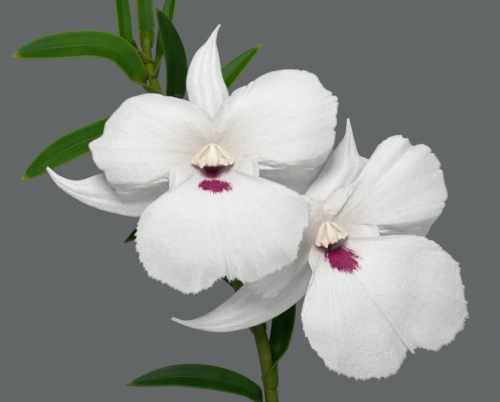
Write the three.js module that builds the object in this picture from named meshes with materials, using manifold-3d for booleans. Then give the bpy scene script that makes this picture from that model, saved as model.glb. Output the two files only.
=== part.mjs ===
// A potted orchid, Dendrobium parthenium: one tall cane with two white flowers, two younger
// leafy canes, and a plain clay pot of bark. Millimetres, +Z up, origin on the pot's foot.
// The flowers face -Y. Flower outlines are [x, z] from the middle of the flower's column.

import * as THREE from 'three';
import { mergeVertices } from 'three/addons/utils/BufferGeometryUtils.js';
import Module from 'manifold-3d';

const wasm = await Module();
wasm.setup();

// Pot and bark
const potHeight = 95;
const potTopRadius = 55;
const potFootRadius = 39;
const potWall = 4;
const potFloor = 6;
const rimHeight = 17;
const rimStep = 3;
const rimTaper = 0.6;
const lipBevel = 1.5;
const potSides = 32;
const drainCount = 4;
const drainRadius = 4.5;
const drainRing = 21;
const barkTop = 80;
const barkGap = 0.3;
const chipCount = 27;
const chipReach = 42;
const chipSize = [10, 7, 4];
const chipSpread = [7, 5, 2];
const chipTilt = 0.5;
const caneFoot = 46;

// Canes
const caneSides = 8;
const caneFootRadius = 3.1;
const caneTipRadius = 1.3;
const nodeSwelling = 0.35;
const holeClearance = 0.5;

// Blades
const petalThickness = 0.7;
const lipThickness = 0.7;
const leafThickness = 0.65;
const sheathGap = 0.4;
const sheathWrap = 2.25;
const leafColumns = 4;
const leafSteps = 7;
const sepalSteps = 9;
const sepalColumns = 4;
const petalRings = 6;
const lipRings = 5;
const lipThroatRadius = 3.6;
const lipThroatSpread = 1.2;
const lipReach = 12.3;
const toothedFrom = 18;
const toothHeight = 0.7;

// The column's rings: depth, lift, half width, half height, and how much narrower the top is
const columnRings = [[-1.15, 0, 3.1, 3.1, 0], [-2.6, 0, 3.1, 3.1, 0], [-4.2, 0.7, 3.6, 2.8, 0.1],
  [-6.5, 0.9, 4.9, 3, 0.3], [-8.3, 0.7, 5.8, 3, 0.45], [-9, 0.9, 4, 2.3, 0.4]];
const columnSides = 14;
const capGap = 0.35;
const capLift = 0.5;
const capHalf = { width: 1.9, depth: 1.3, height: 2.2 };
const capSides = 10;
const capLevels = 4;

// Behind the flower: receptacle, stalk and spur
const receptacleRadius = 3;
const receptacleDepth = 2.2;
const stalkRadius = 1.1;
const ovaryRadius = 2;
const spurTipRadius = 1.1;
const spurLine = [[0, 3.4, -1], [0, 5.2, -4], [0, 7.6, -8.4]];

// Colours
const flowerPink = 0xf3d9cc;
const flowerWhite = 0xf1f2f0;
const leafGreen = 0x3a7a0c;
const caneGreen = 0x66791a;
const clayRed = 0xb06a45;
const barkBrown = 0x5b3a24;

// Each flower: its place, how far its right side falls back, and its outlines
const flowers = [
  {
    name: 'flower_1',
    centre: [-10.4, -24, 318.3],
    turn: 0,
    dorsal: {
      left: [[-2.2, 3.3], [-5.6, 8.5], [-6.6, 15.7], [-7.4, 21.6], [-5, 29.1], [-1.8, 32.6],
        [0.2, 35.6], [1.7, 37.5]],
      right: [[2.2, 3.3], [5, 9], [4.4, 17.9], [2.7, 22.5], [1.6, 29], [0.9, 32.4], [1.4, 35.8],
        [2.2, 37.5]],
      depth: 1.5, sweep: 0.02, reflex: 5, arch: 0.3,
    },
    sepalLeft: {
      left: [[-2.0, -3.3], [-12, -12.5], [-20, -16.4], [-27, -15.6], [-35.6, -12.9], [-43.7, -7.8],
        [-47.2, -2.9]],
      right: [[-3.7, -1.9], [-14, -2.2], [-24, -3.2], [-31.1, -4.2], [-38.4, -6.3], [-43.2, -5],
        [-46.8, -2.3]],
      depth: 1.6, sweep: 0.26, reflex: 2, arch: 0.25,
    },
    sepalRight: {
      left: [[3.7, -1.9], [14, 0.8], [24, 2.2], [33.9, 2.4], [40.5, 1], [44.4, -0.4], [47.6, -2.2]],
      right: [[2.0, -3.3], [13, -9.5], [22, -12.2], [32, -11], [39, -7.6], [43.4, -4.4], [47.2, -2.8]],
      depth: 1.6, sweep: 0.42, reflex: 2, arch: 0.25,
    },
    petalLeft: {
      root: [[-1.3, 3.4], [-3.7, -0.9]],
      rim: [[-1, 9.4], [-3.4, 13.4], [-6.6, 15.5], [-10.8, 16.9], [-18.2, 17.9], [-23.8, 16.3],
        [-26.5, 13.4], [-30, 9.8], [-30.8, 6.2], [-34.4, 3.6], [-33.3, -0.3], [-29.4, -6.7],
        [-24.6, -12], [-17.5, -9.6], [-10.5, -5.4]],
      ridge: [[-30, -6.6], [-18.5, -6.5], [-11.5, -3.1], [-3, -0.4]],
      bulge: 3.2, back: 2.2, fold: 1.1,
    },
    petalRight: {
      root: [[1.3, 3.4], [3.7, -0.9]],
      rim: [[1, 9.8], [3, 14.6], [5.4, 18], [10.4, 21], [16.2, 23.9], [22.1, 24.7], [28.3, 23.1],
        [32, 18.9], [34.4, 17.2], [35, 13.4], [33.7, 4.5], [32.2, 0.5], [27.2, -3.9], [20.2, -6.2],
        [11.5, -3.6]],
      ridge: [[3, -0.4], [10.4, 1.3], [19.3, -0.9], [28.3, 0.2], [34, 3.6]],
      bulge: 3.4, back: 2.2, fold: 1.1,
    },
    lip: {
      axis: 273,
      rim: [[-6.9, -1.6], [-11.5, -3.2], [-11.8, -7], [-12.4, -9.9], [-17.9, -13.7], [-21, -19.6],
        [-20.7, -25.5], [-18.2, -31.6], [-13.7, -34.8], [-6.7, -38], [-1, -36.2], [3.1, -32.8],
        [5, -34.5], [6.2, -32.8], [8.5, -34.3], [14.3, -33.6], [18.9, -30.7], [22.3, -29.2],
        [24.6, -24.1], [26.6, -17.6], [25.6, -11.8], [19.6, -7.8], [13.2, -7], [12.9, -3.1],
        [12, -0.6], [7, -0.7]],
      groove: [0, -1],
      curl: 3,
    },
    columnLean: 0,
    stalk: [[-13.2, -2.6, 303], [-12.4, -9, 304.5], [-10.9, -16.5, 311.5], [-10.4, -20.5, 317.6]],
  },
  {
    name: 'flower_2',
    centre: [21.8, -16, 296.8],
    turn: 0.3,
    dorsal: {
      left: [[-2.2, 3.3], [-5.6, 6], [-6.9, 10], [-5, 13.4], [-2.2, 17], [0.3, 21], [3.1, 25.2],
        [5, 28], [5.7, 32.8]],
      right: [[2.2, 3.3], [6.4, 9], [9, 15.4], [8.9, 21.8], [8, 25.2], [7.4, 27.7], [6.7, 30.6],
        [6.2, 32.8]],
      depth: 1.5, sweep: 0.02, reflex: 4, arch: 0.3,
    },
    sepalLeft: {
      left: [[-0.6, -3.8], [-5.6, -15.8], [-12.9, -22.1], [-20.6, -25.7], [-30, -27.4], [-38.6, -26],
        [-44, -23.8]],
      right: [[-3.2, -2.3], [-11.6, -6.5], [-20.6, -11.6], [-28.3, -18.5], [-34.2, -22.4],
        [-39.6, -24.2], [-43.6, -23.2]],
      depth: 1.6, sweep: 0.24, reflex: 2, arch: 0.25,
    },
    sepalRight: {
      left: [[3.6, 1], [10, 4.6], [17, 5.4], [23, 3.6], [27.4, 0.2], [29.4, -3.6]],
      right: [[3.7, -1.8], [9, -6.6], [16, -9.6], [22, -9.6], [26.4, -7.4], [29, -4.2]],
      depth: 1.8, sweep: 0.3, reflex: 2, arch: 0.25,
    },
    petalLeft: {
      root: [[-1.6, 3.2], [-3.5, -1.4]],
      rim: [[-2.6, 8.4], [-7.2, 11], [-13, 10.4], [-19, 7.8], [-24, 2.8], [-26.3, -3.8],
        [-25.8, -9.8], [-23.2, -14.2], [-19.2, -17], [-16, -18.6], [-12.4, -15.8], [-7.2, -10.3],
        [-4.6, -5.6]],
      ridge: [[-28.6, -24], [-1.6, -6]],
      bulge: 2.6, back: 1.6, fold: 0.6,
    },
    petalRight: {
      root: [[1.5, 3.3], [3.6, -0.4]],
      rim: [[3.4, 9.4], [8.4, 14.6], [11.8, 20.6], [16, 26.5], [21.3, 28], [24, 24.8], [28.3, 24.9],
        [31.9, 20.7], [33.9, 13.2], [33, 7.6], [29.8, 3.8], [27.2, -0.9], [19.4, -1.4],
        [11.6, 0.2]],
      ridge: [[4.4, 1.4], [13.4, 3.6], [23.4, 3.8], [35.4, 6]],
      bulge: 3.2, back: 2.2, fold: 1.1,
    },
    lip: {
      axis: 297,
      rim: [[-4.4, -2.6], [-5.5, -6.4], [-4.2, -11.5], [-6.5, -17.5], [-7.4, -23.8], [-4.8, -30.5],
        [0.6, -37.3], [5.9, -39.8], [14.6, -40.7], [20.3, -37.7], [23, -32.3], [24, -33.4],
        [25.1, -31.9], [30.9, -32.7], [36, -29.6], [39.5, -22.4], [38.8, -16.9], [37.2, -9.5],
        [34.4, -5.9], [30, -2.2], [23.2, -0.1], [15.4, -1.4], [13.3, 2.9], [9.5, 3.4], [6.3, 2.2]],
      groove: [0.58, -0.81],
      curl: 2.4,
    },
    columnLean: 0.15,
    stalk: [[-1.2, -2.2, 283.4], [5, -5.4, 284.8], [14.5, -8.6, 290], [20.6, -11.6, 295.6]],
  },
];

// The tall cane's centre line, and its leaves: mouth of the sheath, side, then the blade's course
const tallCaneJoints = 14;
const sideCaneJoints = 8;
const tallCane = [[9, 4, caneFoot], [9, 4, 70], [9, 4, 96], [10.5, 3, 150], [9.5, 1, 205], [6.2, 0, 250],
  [1.8, 0, 272], [-8, 0, 292], [-19.6, 0, 318], [-26.3, 0, 337], [-29.2, 0, 347], [-29.4, 0, 353]];

const tallLeaves = [
  {
    name: 'leaf_top', mouth: 352, sheath: 2, width: 4.6,
    side: [0, 1, 0], face: [0.1, -1, 0.1],
    course: [[-29.8, 3.6, 358], [-30.2, 4.4, 364], [-29.6, 5.4, 373]],
  },
  {
    name: 'leaf_upper_left', mouth: 347.4, sheath: 1.8, width: 4.4,
    side: [-1, -0.1, 0], face: [0.5, -0.9, 0],
    course: [[-35, -1.6, 351.4], [-36.2, -2, 359], [-37.2, -2.6, 366], [-39.4, -3.4, 374]],
  },
  {
    name: 'leaf_upper_right', mouth: 343, sheath: 1.8, width: 4.4,
    side: [0.9, 0.5, 0], face: [-0.5, -0.9, 0],
    course: [[-25.2, 5.2, 349], [-23.8, 8, 357], [-22.4, 9.6, 364], [-20, 11, 372]],
  },
  {
    name: 'leaf_long_left', mouth: 338, sheath: 3, width: 7.8,
    side: [-0.95, -0.3, 0], face: [0.1, -0.85, 0.5],
    course: [[-34.8, -3, 343.4], [-41.5, -5, 349.4], [-50, -7, 350.2], [-59, -8, 348.8],
      [-67.5, -8.4, 346.9]],
  },
  {
    name: 'leaf_dark_right', mouth: 332.6, sheath: 3, width: 6.4,
    side: [0.98, -0.2, 0], face: [0.3, -0.95, 0.1],
    course: [[-21.4, -0.8, 338.4], [-21.2, -2, 345.6], [-23.4, -2.8, 354], [-26.6, -3.2, 361.4]],
  },
  {
    name: 'leaf_low_left', mouth: 327.2, sheath: 3.4, width: 7.6,
    side: [-0.95, -0.3, 0], face: [0.3, -0.75, 0.6],
    course: [[-30.4, -2, 330.6], [-42, -2.6, 326.2], [-54, -3, 320.4], [-65.2, -3.2, 312]],
  },
  {
    name: 'leaf_behind_right', mouth: 321, sheath: 7, width: 6,
    side: [0.85, 0.5, 0], face: [-0.4, -0.7, 0.6],
    course: [[-16.4, 6.4, 330.6], [-9.2, 10.6, 338.6], [-3, 13, 345.4], [3.6, 14.4, 351.6]],
  },
  {
    name: 'leaf_hidden_left', mouth: 298, sheath: 8, width: 6.4,
    side: [-0.8, 0.6, 0], face: [0.1, -0.6, 0.8],
    course: [[-17.6, 5.6, 301.4], [-25.6, 8.4, 300.2], [-36, 9, 294.4]],
  },
  {
    name: 'leaf_hidden_back', mouth: 277, sheath: 8, width: 7,
    side: [-0.3, 0.95, 0], face: [0.2, -0.8, 0.6],
    course: [[-2.6, 6.6, 281.6], [-7, 12.4, 286], [-13.4, 18.6, 289]],
  },
  {
    name: 'leaf_below_right', mouth: 259, sheath: 6, width: 7.4,
    side: [0.95, 0.2, 0], face: [-0.75, -0.65, 0.1],
    course: [[8.4, 1.6, 263.6], [10, 2.6, 271], [10.6, 3.6, 280], [8.8, 4.6, 289]],
  },
  {
    name: 'leaf_below_left', mouth: 247, sheath: 7, width: 7.8,
    side: [-0.95, -0.2, 0], face: [0.3, -0.85, 0.5],
    course: [[1, -2, 251.6], [-7.6, -4.6, 255], [-21, -6.4, 256.4], [-35, -7, 254.2]],
  },
];

// Leaves placed by rule, and the side canes: [mouth height, bearing in degrees, length]
const ruledSheath = 8;
const ruledWidth = 8;
const lowerLeafRule = [[226, 20, 46], [200, 196, 48], [172, 28, 50]];
const sideCanes = [
  {
    name: 'side_cane_left',
    line: [[-20, 9, caneFoot], [-20, 9, 70], [-20, 9, 94], [-24, 11, 130], [-30, 13, 168],
      [-36, 14, 203]],
    leaves: [[200, 118, 38], [188, 205, 42], [172, 20, 46], [153, 190, 46]],
  },
  {
    name: 'side_cane_right',
    line: [[27, -13, caneFoot], [27, -13, 70], [27, -13, 92], [31, -16, 118], [36, -19, 144],
      [40, -21, 168]],
    leaves: [[165, -52, 36], [154, 12, 40], [140, -160, 42], [124, -10, 44]],
  },
];

// A repeatable source of random numbers from 0 to 1
function seededRandom(seed) {
  let state = seed;
  return () => {
    state = (state * 1664525 + 1013904223) % 4294967296;
    return state / 4294967296;
  };
}

function vector([x, y, z]) {
  return new THREE.Vector3(x, y, z);
}

function curveThrough(points) {
  return new THREE.CatmullRomCurve3(points, false, 'centripetal');
}

function outlineCurve(outline) {
  return curveThrough(outline.map(([x, z]) => new THREE.Vector3(x, 0, z)));
}

function lerp(from, to, share) {
  return from + (to - from) * share;
}

// Height on a line of [x, height] points that run left to right
function heightOn(line, x) {
  const last = line.length - 1;
  for (let i = 1; i <= last; i++) {
    if (x <= line[i][0] || i === last) {
      const share = THREE.MathUtils.clamp((x - line[i - 1][0]) / (line[i][0] - line[i - 1][0]), 0, 1);
      return lerp(line[i - 1][1], line[i][1], share);
    }
  }
  return line[last][1];
}

// Mesh geometry from points and triangle indices
function solidGeometry(points, triangles) {
  const geometry = new THREE.BufferGeometry();
  const places = points.flatMap((point) => [point.x, point.y, point.z]);
  geometry.setAttribute('position', new THREE.Float32BufferAttribute(places, 3));
  geometry.setIndex(triangles);
  return geometry;
}

// A thin closed blade from rows of points: two skins split alike, stitched along the border
function bladeGeometry(rows, thickness) {
  const last = rows.length - 1;
  const side = rows[0].length - 1;
  const skin = rows.length * rows[0].length;
  const index = (i, j) => i * (side + 1) + j;
  const points = [];
  for (const face of [thickness / 2, -thickness / 2]) {
    rows.forEach((row, i) => row.forEach((point, j) => {
      const along = rows[Math.min(i + 1, last)][j].clone().sub(rows[Math.max(i - 1, 0)][j]);
      const across = row[Math.min(j + 1, side)].clone().sub(row[Math.max(j - 1, 0)]);
      points.push(across.cross(along).normalize().multiplyScalar(face).add(point));
    }));
  }
  const triangles = [];
  for (let i = 0; i < last; i++) {
    for (let j = 0; j < side; j++) {
      const corners = [index(i, j), index(i, j + 1), index(i + 1, j + 1), index(i + 1, j)];
      const [a, b, c, d] = corners;
      const [e, f, g, h] = corners.map((corner) => corner + skin);
      triangles.push(a, b, c, a, c, d, e, g, f, e, h, g);
    }
  }
  const border = [];
  for (let j = 0; j < side; j++) border.push(index(0, j));
  for (let i = 0; i < last; i++) border.push(index(i, side));
  for (let j = side; j > 0; j--) border.push(index(last, j));
  for (let i = last; i > 0; i--) border.push(index(i, 0));
  border.forEach((p, k) => {
    const q = border[(k + 1) % border.length];
    triangles.push(q, p, p + skin, q, p + skin, q + skin);
  });
  return solidGeometry(points, triangles);
}

// A closed loft through rings of points, all with the same count, ends filled from their middles
function loftGeometry(rings) {
  const count = rings[0].length;
  const points = rings.flat();
  const triangles = [];
  for (let i = 0; i < rings.length - 1; i++) {
    for (let j = 0; j < count; j++) {
      const a = i * count + j;
      const b = i * count + ((j + 1) % count);
      triangles.push(a, b, b + count, a, b + count, a + count);
    }
  }
  const ends = [rings[0], rings[rings.length - 1]];
  ends.forEach((ring, end) => {
    const middle = ring.reduce((sum, point) => sum.add(point), new THREE.Vector3()).divideScalar(count);
    const start = end === 0 ? 0 : (rings.length - 1) * count;
    const centre = points.push(middle) - 1;
    for (let j = 0; j < count; j++) {
      const a = start + j;
      const b = start + ((j + 1) % count);
      triangles.push(...(end === 0 ? [centre, b, a] : [centre, a, b]));
    }
  });
  return solidGeometry(points, triangles);
}

// A round bar along a curve, with its radius given by the share of the way and the height
function barGeometry(curve, radiusAt, steps, sides) {
  const rings = [];
  const seed = new THREE.Vector3(0, 1, 0);
  for (let i = 0; i <= steps; i++) {
    const middle = curve.getPoint(i / steps);
    const tangent = curve.getTangent(i / steps);
    const across = seed.clone().cross(tangent).normalize();
    const up = tangent.clone().cross(across);
    const ring = [];
    for (let j = 0; j < sides; j++) {
      const angle = (j / sides) * Math.PI * 2;
      const offset = across.clone().multiplyScalar(Math.cos(angle)).addScaledVector(up, Math.sin(angle));
      ring.push(middle.clone().addScaledVector(offset, radiusAt(i / steps, middle.z)));
    }
    rings.push(ring);
  }
  return loftGeometry(rings);
}

function toManifold(geometry) {
  const bare = new THREE.BufferGeometry();
  bare.setAttribute('position', geometry.getAttribute('position'));
  if (geometry.index) bare.setIndex(geometry.index);
  const merged = mergeVertices(bare, 1e-4);
  return new wasm.Manifold(new wasm.Mesh({
    numProp: 3,
    vertProperties: new Float32Array(merged.getAttribute('position').array),
    triVerts: new Uint32Array(merged.index.array),
  }));
}

function fromManifold(solid) {
  const mesh = solid.getMesh();
  const geometry = new THREE.BufferGeometry();
  geometry.setAttribute('position', new THREE.Float32BufferAttribute(mesh.vertProperties, 3));
  geometry.setIndex(Array.from(mesh.triVerts));
  return geometry;
}

// The outer shell alone, without hollows that joining has sealed and without loose scraps
function outerShell(geometry) {
  const triangles = geometry.index.array;
  const parent = Array.from({ length: geometry.getAttribute('position').count }, (_, i) => i);
  const rootOf = (vertex) => {
    let root = vertex;
    while (parent[root] !== root) root = parent[root];
    parent[vertex] = root;
    return root;
  };
  for (let i = 0; i < triangles.length; i += 3) {
    parent[rootOf(triangles[i + 1])] = rootOf(triangles[i]);
    parent[rootOf(triangles[i + 2])] = rootOf(triangles[i]);
  }
  const shells = new Map();
  for (let i = 0; i < triangles.length; i += 3) {
    const root = rootOf(triangles[i]);
    if (!shells.has(root)) shells.set(root, []);
    shells.get(root).push(triangles[i], triangles[i + 1], triangles[i + 2]);
  }
  const largest = [...shells.values()].sort((a, b) => b.length - a.length)[0];
  const shell = new THREE.BufferGeometry();
  shell.setAttribute('position', geometry.getAttribute('position'));
  shell.setIndex(largest);
  return shell;
}

function petalMaterial() {
  return new THREE.MeshStandardMaterial({ color: flowerWhite, roughness: 0.55, metalness: 0 });
}

function columnMaterial() {
  return new THREE.MeshStandardMaterial({ color: flowerPink, roughness: 0.45, metalness: 0 });
}

function leafMaterial() {
  return new THREE.MeshStandardMaterial({ color: leafGreen, roughness: 0.4, metalness: 0 });
}

function caneMaterial() {
  return new THREE.MeshStandardMaterial({ color: caneGreen, roughness: 0.5, metalness: 0 });
}

function clayMaterial() {
  return new THREE.MeshStandardMaterial({ color: clayRed, roughness: 0.85, metalness: 0 });
}

function barkMaterial() {
  return new THREE.MeshStandardMaterial({ color: barkBrown, roughness: 0.95, metalness: 0 });
}

function addPart(group, name, geometry, material) {
  const mesh = new THREE.Mesh(geometry, material);
  mesh.name = name;
  group.add(mesh);
}

// A point of a flower, from its outline place and depth behind the column's middle
function flowerPoint(flower, x, z, depth) {
  const [cx, cy, cz] = flower.centre;
  return new THREE.Vector3(cx + x, cy + depth + flower.turn * x, cz + z);
}

// A sepal runs from its root to its pointed tip between two edges
function sepalGeometry(flower, sepal) {
  const left = outlineCurve(sepal.left).getSpacedPoints(sepalSteps);
  const right = outlineCurve(sepal.right).getSpacedPoints(sepalSteps);
  const rows = left.map((leftPoint, i) => {
    const along = i / sepalSteps;
    const halfWidth = leftPoint.distanceTo(right[i]) / 2;
    const row = [];
    for (let j = 0; j <= sepalColumns; j++) {
      const place = leftPoint.clone().lerp(right[i], j / sepalColumns);
      const edge = (2 * j) / sepalColumns - 1;
      const reach = Math.hypot(place.x, place.z) - lipThroatRadius;
      const depth = sepal.depth + sepal.sweep * reach + sepal.reflex * along ** 3
        + sepal.arch * halfWidth * edge ** 2;
      row.push(flowerPoint(flower, place.x, place.z, depth));
    }
    return row;
  });
  return bladeGeometry(rows, petalThickness);
}

// A petal fans out from its root, domed to the front, its rim rolled back below the ridge
function petalGeometry(flower, petal, seed) {
  const random = seededRandom(seed);
  const rim = outlineCurve(petal.rim).getPoints(2 * (petal.rim.length - 1));
  const rays = rim.length - 1;
  const waves = rim.map(() => random() - 0.5);
  const rows = [];
  for (let ring = 0; ring <= petalRings; ring++) {
    const share = ring / petalRings;
    rows.push(rim.map((edge, k) => {
      const x = lerp(lerp(petal.root[0][0], petal.root[1][0], k / rays), edge.x, share);
      const z = lerp(lerp(petal.root[0][1], petal.root[1][1], k / rays), edge.z, share);
      const below = Math.max(0, heightOn(petal.ridge, x) - z);
      const fold = petal.fold * THREE.MathUtils.smoothstep(Math.hypot(x, z), 4, 22);
      const depth = -petal.bulge * Math.sin(Math.PI * share * 0.86) + petal.back * share ** 4
        + fold * (Math.hypot(below, 1) - 1) + 0.8 * waves[k] * share ** 3;
      return flowerPoint(flower, x, z, depth);
    }));
  }
  return bladeGeometry(rows, petalThickness);
}

// The lip is a funnel below the column that opens into two side ears and a broad toothed blade
function lipGeometry(flower, lip, seed) {
  const random = seededRandom(seed);
  const rim = outlineCurve(lip.rim).getPoints(2 * (lip.rim.length - 1));
  const rays = rim.length - 1;
  const teeth = rim.map((edge, k) => toothHeight * (k % 2 - 0.5) + 0.5 * (random() - 0.5));
  const axis = THREE.MathUtils.degToRad(lip.axis);
  const rows = [];
  for (let ring = 0; ring <= lipRings; ring++) {
    const share = (ring / lipRings) ** 1.35;
    rows.push(rim.map((edge, k) => {
      const angle = axis + lerp(-lipThroatSpread, lipThroatSpread, k / rays);
      const rootX = lipThroatRadius * Math.cos(angle);
      const rootZ = lipThroatRadius * Math.sin(angle) - 0.3;
      const length = Math.hypot(edge.x - rootX, edge.z - rootZ);
      const toothed = length > toothedFrom && ring === lipRings;
      const tooth = toothed ? 1 + teeth[k] / length : 1;
      const x = lerp(rootX, edge.x, share * tooth);
      const z = lerp(rootZ, edge.z, share * tooth);
      const radius = Math.hypot(x, z);
      const sideways = x * lip.groove[1] - z * lip.groove[0];
      const opening = -lipReach * (1 - Math.exp((2.6 - radius) / 6.2));
      const curl = lip.curl * (Math.max(0, radius - 22) / 14) ** 2;
      const groove = radius > 8 ? 0.9 * Math.exp(-((sideways / 2.4) ** 2)) : 0;
      const ripple = 0.5 * Math.sin(k * 1.25) * (radius / 36) ** 2;
      return flowerPoint(flower, x, z, opening + curl + groove + ripple);
    }));
  }
  return bladeGeometry(rows, lipThickness);
}

// How far the column leans to the right at a depth, past its upright foot
function lean(flower, depth) {
  return flower.columnLean * Math.max(0, columnRings[1][0] - depth);
}

// The column: a round foot behind the lip's root, widening to a winged hood
function columnGeometry(flower) {
  const rings = columnRings.map(([depth, lift, halfWidth, halfHeight, taper]) => {
    const ring = [];
    for (let j = 0; j < columnSides; j++) {
      const angle = (j / columnSides) * Math.PI * 2;
      const x = lean(flower, depth) + halfWidth * Math.cos(angle) * (1 - taper * Math.sin(angle));
      ring.push(flowerPoint(flower, x, lift + halfHeight * Math.sin(angle), depth));
    }
    return ring;
  });
  return loftGeometry(rings);
}

// The cap over the pollen, a small dome in front of the hood
function capGeometry(flower) {
  const front = columnRings[columnRings.length - 1][0];
  const rings = [];
  for (let level = 0; level < capLevels; level++) {
    const rise = (level / capLevels) * (Math.PI / 2);
    const depth = front - capGap - capHalf.depth * Math.sin(rise);
    const ring = [];
    for (let j = 0; j < capSides; j++) {
      const angle = (j / capSides) * Math.PI * 2;
      const x = lean(flower, depth) + capHalf.width * Math.cos(rise) * Math.cos(angle);
      const z = capLift + capHalf.height * Math.cos(rise) * Math.sin(angle);
      ring.push(flowerPoint(flower, x, z, depth));
    }
    rings.push(ring);
  }
  return loftGeometry(rings);
}

// The stalk with its ovary, the round receptacle and the blunt spur behind the flower
function stalkGeometry(flower) {
  const path = curveThrough(flower.stalk.map(vector));
  const stalk = barGeometry(path, (t) => lerp(stalkRadius, ovaryRadius, t * t), 7, 8);
  const receptacle = new THREE.SphereGeometry(receptacleRadius, 10, 6);
  receptacle.translate(...flowerPoint(flower, 0, 0, receptacleDepth).toArray());
  const spurPath = curveThrough(spurLine.map(([x, depth, z]) => flowerPoint(flower, x, z, depth)));
  const spur = barGeometry(spurPath, (t) => lerp(ovaryRadius, spurTipRadius, t * t), 3, 8);
  return fromManifold(toManifold(stalk).add(toManifold(receptacle)).add(toManifold(spur)));
}

function buildFlower(group, flower, seed) {
  const white = petalMaterial();
  addPart(group, `${flower.name}_dorsal_sepal`, sepalGeometry(flower, flower.dorsal), white);
  addPart(group, `${flower.name}_sepal_left`, sepalGeometry(flower, flower.sepalLeft), white);
  addPart(group, `${flower.name}_sepal_right`, sepalGeometry(flower, flower.sepalRight), white);
  addPart(group, `${flower.name}_petal_left`, petalGeometry(flower, flower.petalLeft, seed), white);
  addPart(group, `${flower.name}_petal_right`, petalGeometry(flower, flower.petalRight, seed + 1), white);
  addPart(group, `${flower.name}_lip`, lipGeometry(flower, flower.lip, seed + 2), white);
  addPart(group, `${flower.name}_column`, columnGeometry(flower), columnMaterial());
  addPart(group, `${flower.name}_anther_cap`, capGeometry(flower), columnMaterial());
  addPart(group, `${flower.name}_stalk`, stalkGeometry(flower), white);
}

// The radius of a cane at a height, thinner to its tip and slightly swollen at its joints
function caneRadius({ top, joints }, height) {
  const share = THREE.MathUtils.clamp((height - caneFoot) / (top - caneFoot), 0, 1);
  const swelling = nodeSwelling * (1 - share) * Math.max(0, Math.cos(share * joints * Math.PI * 2)) ** 6;
  return lerp(caneFootRadius, caneTipRadius, share) + swelling;
}

// Where a cane stands at a height, with its direction there
function caneAt({ curve }, height) {
  let low = 0;
  let high = 1;
  for (let i = 0; i < 30; i++) {
    const middle = (low + high) / 2;
    if (curve.getPointAt(middle).z < height) low = middle;
    else high = middle;
  }
  const point = curve.getPointAt(low);
  const tangent = curve.getTangentAt(low);
  point.addScaledVector(tangent, (height - point.z) / tangent.z);
  return { point, tangent };
}

// The share of a leaf's half width from its mouth to its tip
function leafProfile(t) {
  const opening = 0.5 + 0.5 * Math.sin(Math.min(t / 0.42, 1) * (Math.PI / 2));
  const closing = Math.max(0, 1 - Math.max(0, (t - 0.42) / 0.58) ** 2.1) ** 0.85;
  return Math.max(0.05, opening * closing);
}

// A leaf: a sheath wrapped round the cane that opens into a folded blade
function leafGeometry(cane, leaf) {
  const wanted = vector(leaf.side).normalize();
  const sheathRow = (height, spread, proud) => {
    const { point, tangent } = caneAt(cane, height);
    const facet = Math.cos(sheathWrap / leafColumns);
    const radius = (caneRadius(cane, height) + sheathGap + leafThickness / 2) / facet + proud;
    const out = wanted.clone().addScaledVector(tangent, -wanted.dot(tangent)).normalize();
    const round = tangent.clone().cross(out);
    const row = [];
    for (let j = 0; j <= leafColumns; j++) {
      const angle = spread * ((2 * j) / leafColumns - 1);
      row.push(point.clone().addScaledVector(out, radius * Math.cos(angle))
        .addScaledVector(round, radius * Math.sin(angle)));
    }
    return row;
  };
  const rows = [
    sheathRow(leaf.mouth - leaf.sheath, sheathWrap, 0),
    sheathRow(leaf.mouth, sheathWrap, 0),
    sheathRow(leaf.mouth + 1, sheathWrap * 0.72, 0.5),
    sheathRow(leaf.mouth + 2.2, sheathWrap * 0.42, 1.2),
  ];
  const start = rows[3][leafColumns / 2];
  const course = curveThrough([start, ...leaf.course.map(vector)]);
  const face = vector(leaf.face).normalize();
  for (let i = 1; i <= leafSteps; i++) {
    const t = i / leafSteps;
    const middle = course.getPointAt(t);
    const tangent = course.getTangentAt(t);
    const across = face.clone().cross(tangent).normalize();
    const up = tangent.clone().cross(across).normalize();
    const halfWidth = (leaf.width / 2) * leafProfile(t);
    const row = [];
    for (let j = 0; j <= leafColumns; j++) {
      const edge = (2 * j) / leafColumns - 1;
      row.push(middle.clone().addScaledVector(across, halfWidth * edge)
        .addScaledVector(up, 0.3 * halfWidth * Math.abs(edge)));
    }
    rows.push(row);
  }
  return bladeGeometry(rows, leafThickness);
}

// A leaf placed by rule: it rises from the cane, arches over and droops a little at its tip
function ruledLeaf(cane, [mouth, bearing, length], name) {
  const angle = THREE.MathUtils.degToRad(bearing);
  const out = new THREE.Vector3(Math.cos(angle), Math.sin(angle), 0);
  const { point } = caneAt(cane, mouth);
  const place = (reach, rise) => point.clone().addScaledVector(out, reach * length)
    .add(new THREE.Vector3(0, 0, rise * length)).toArray();
  return {
    name,
    mouth,
    sheath: ruledSheath,
    width: ruledWidth,
    side: out.toArray(),
    face: [-0.5 * out.x, -0.5 * out.y, 0.85],
    course: [place(0.22, 0.16), place(0.48, 0.27), place(0.76, 0.27), place(1, 0.17)],
  };
}

// A cane with three rings between each two points of its line; joints are its swollen rings
function buildCane(group, name, line, joints) {
  const cane = { curve: curveThrough(line.map(vector)), top: line[line.length - 1][2], joints };
  const radiusAt = (t, height) => caneRadius(cane, height);
  const steps = 3 * (line.length - 1);
  addPart(group, name, barGeometry(cane.curve, radiusAt, steps, caneSides), caneMaterial());
  return cane;
}

function buildLeaves(group, cane, leaves) {
  const green = leafMaterial();
  for (const leaf of leaves) addPart(group, leaf.name, leafGeometry(cane, leaf), green);
}

function buildPlant(group) {
  const tall = buildCane(group, 'flowering_cane', tallCane, tallCaneJoints);
  buildLeaves(group, tall, tallLeaves);
  buildLeaves(group, tall, lowerLeafRule.map((rule, i) => ruledLeaf(tall, rule, `leaf_lower_${i + 1}`)));
  for (const { name, line, leaves } of sideCanes) {
    const cane = buildCane(group, name, line, sideCaneJoints);
    buildLeaves(group, cane, leaves.map((rule, i) => ruledLeaf(cane, rule, `${name}_leaf_${i + 1}`)));
  }
}

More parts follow.
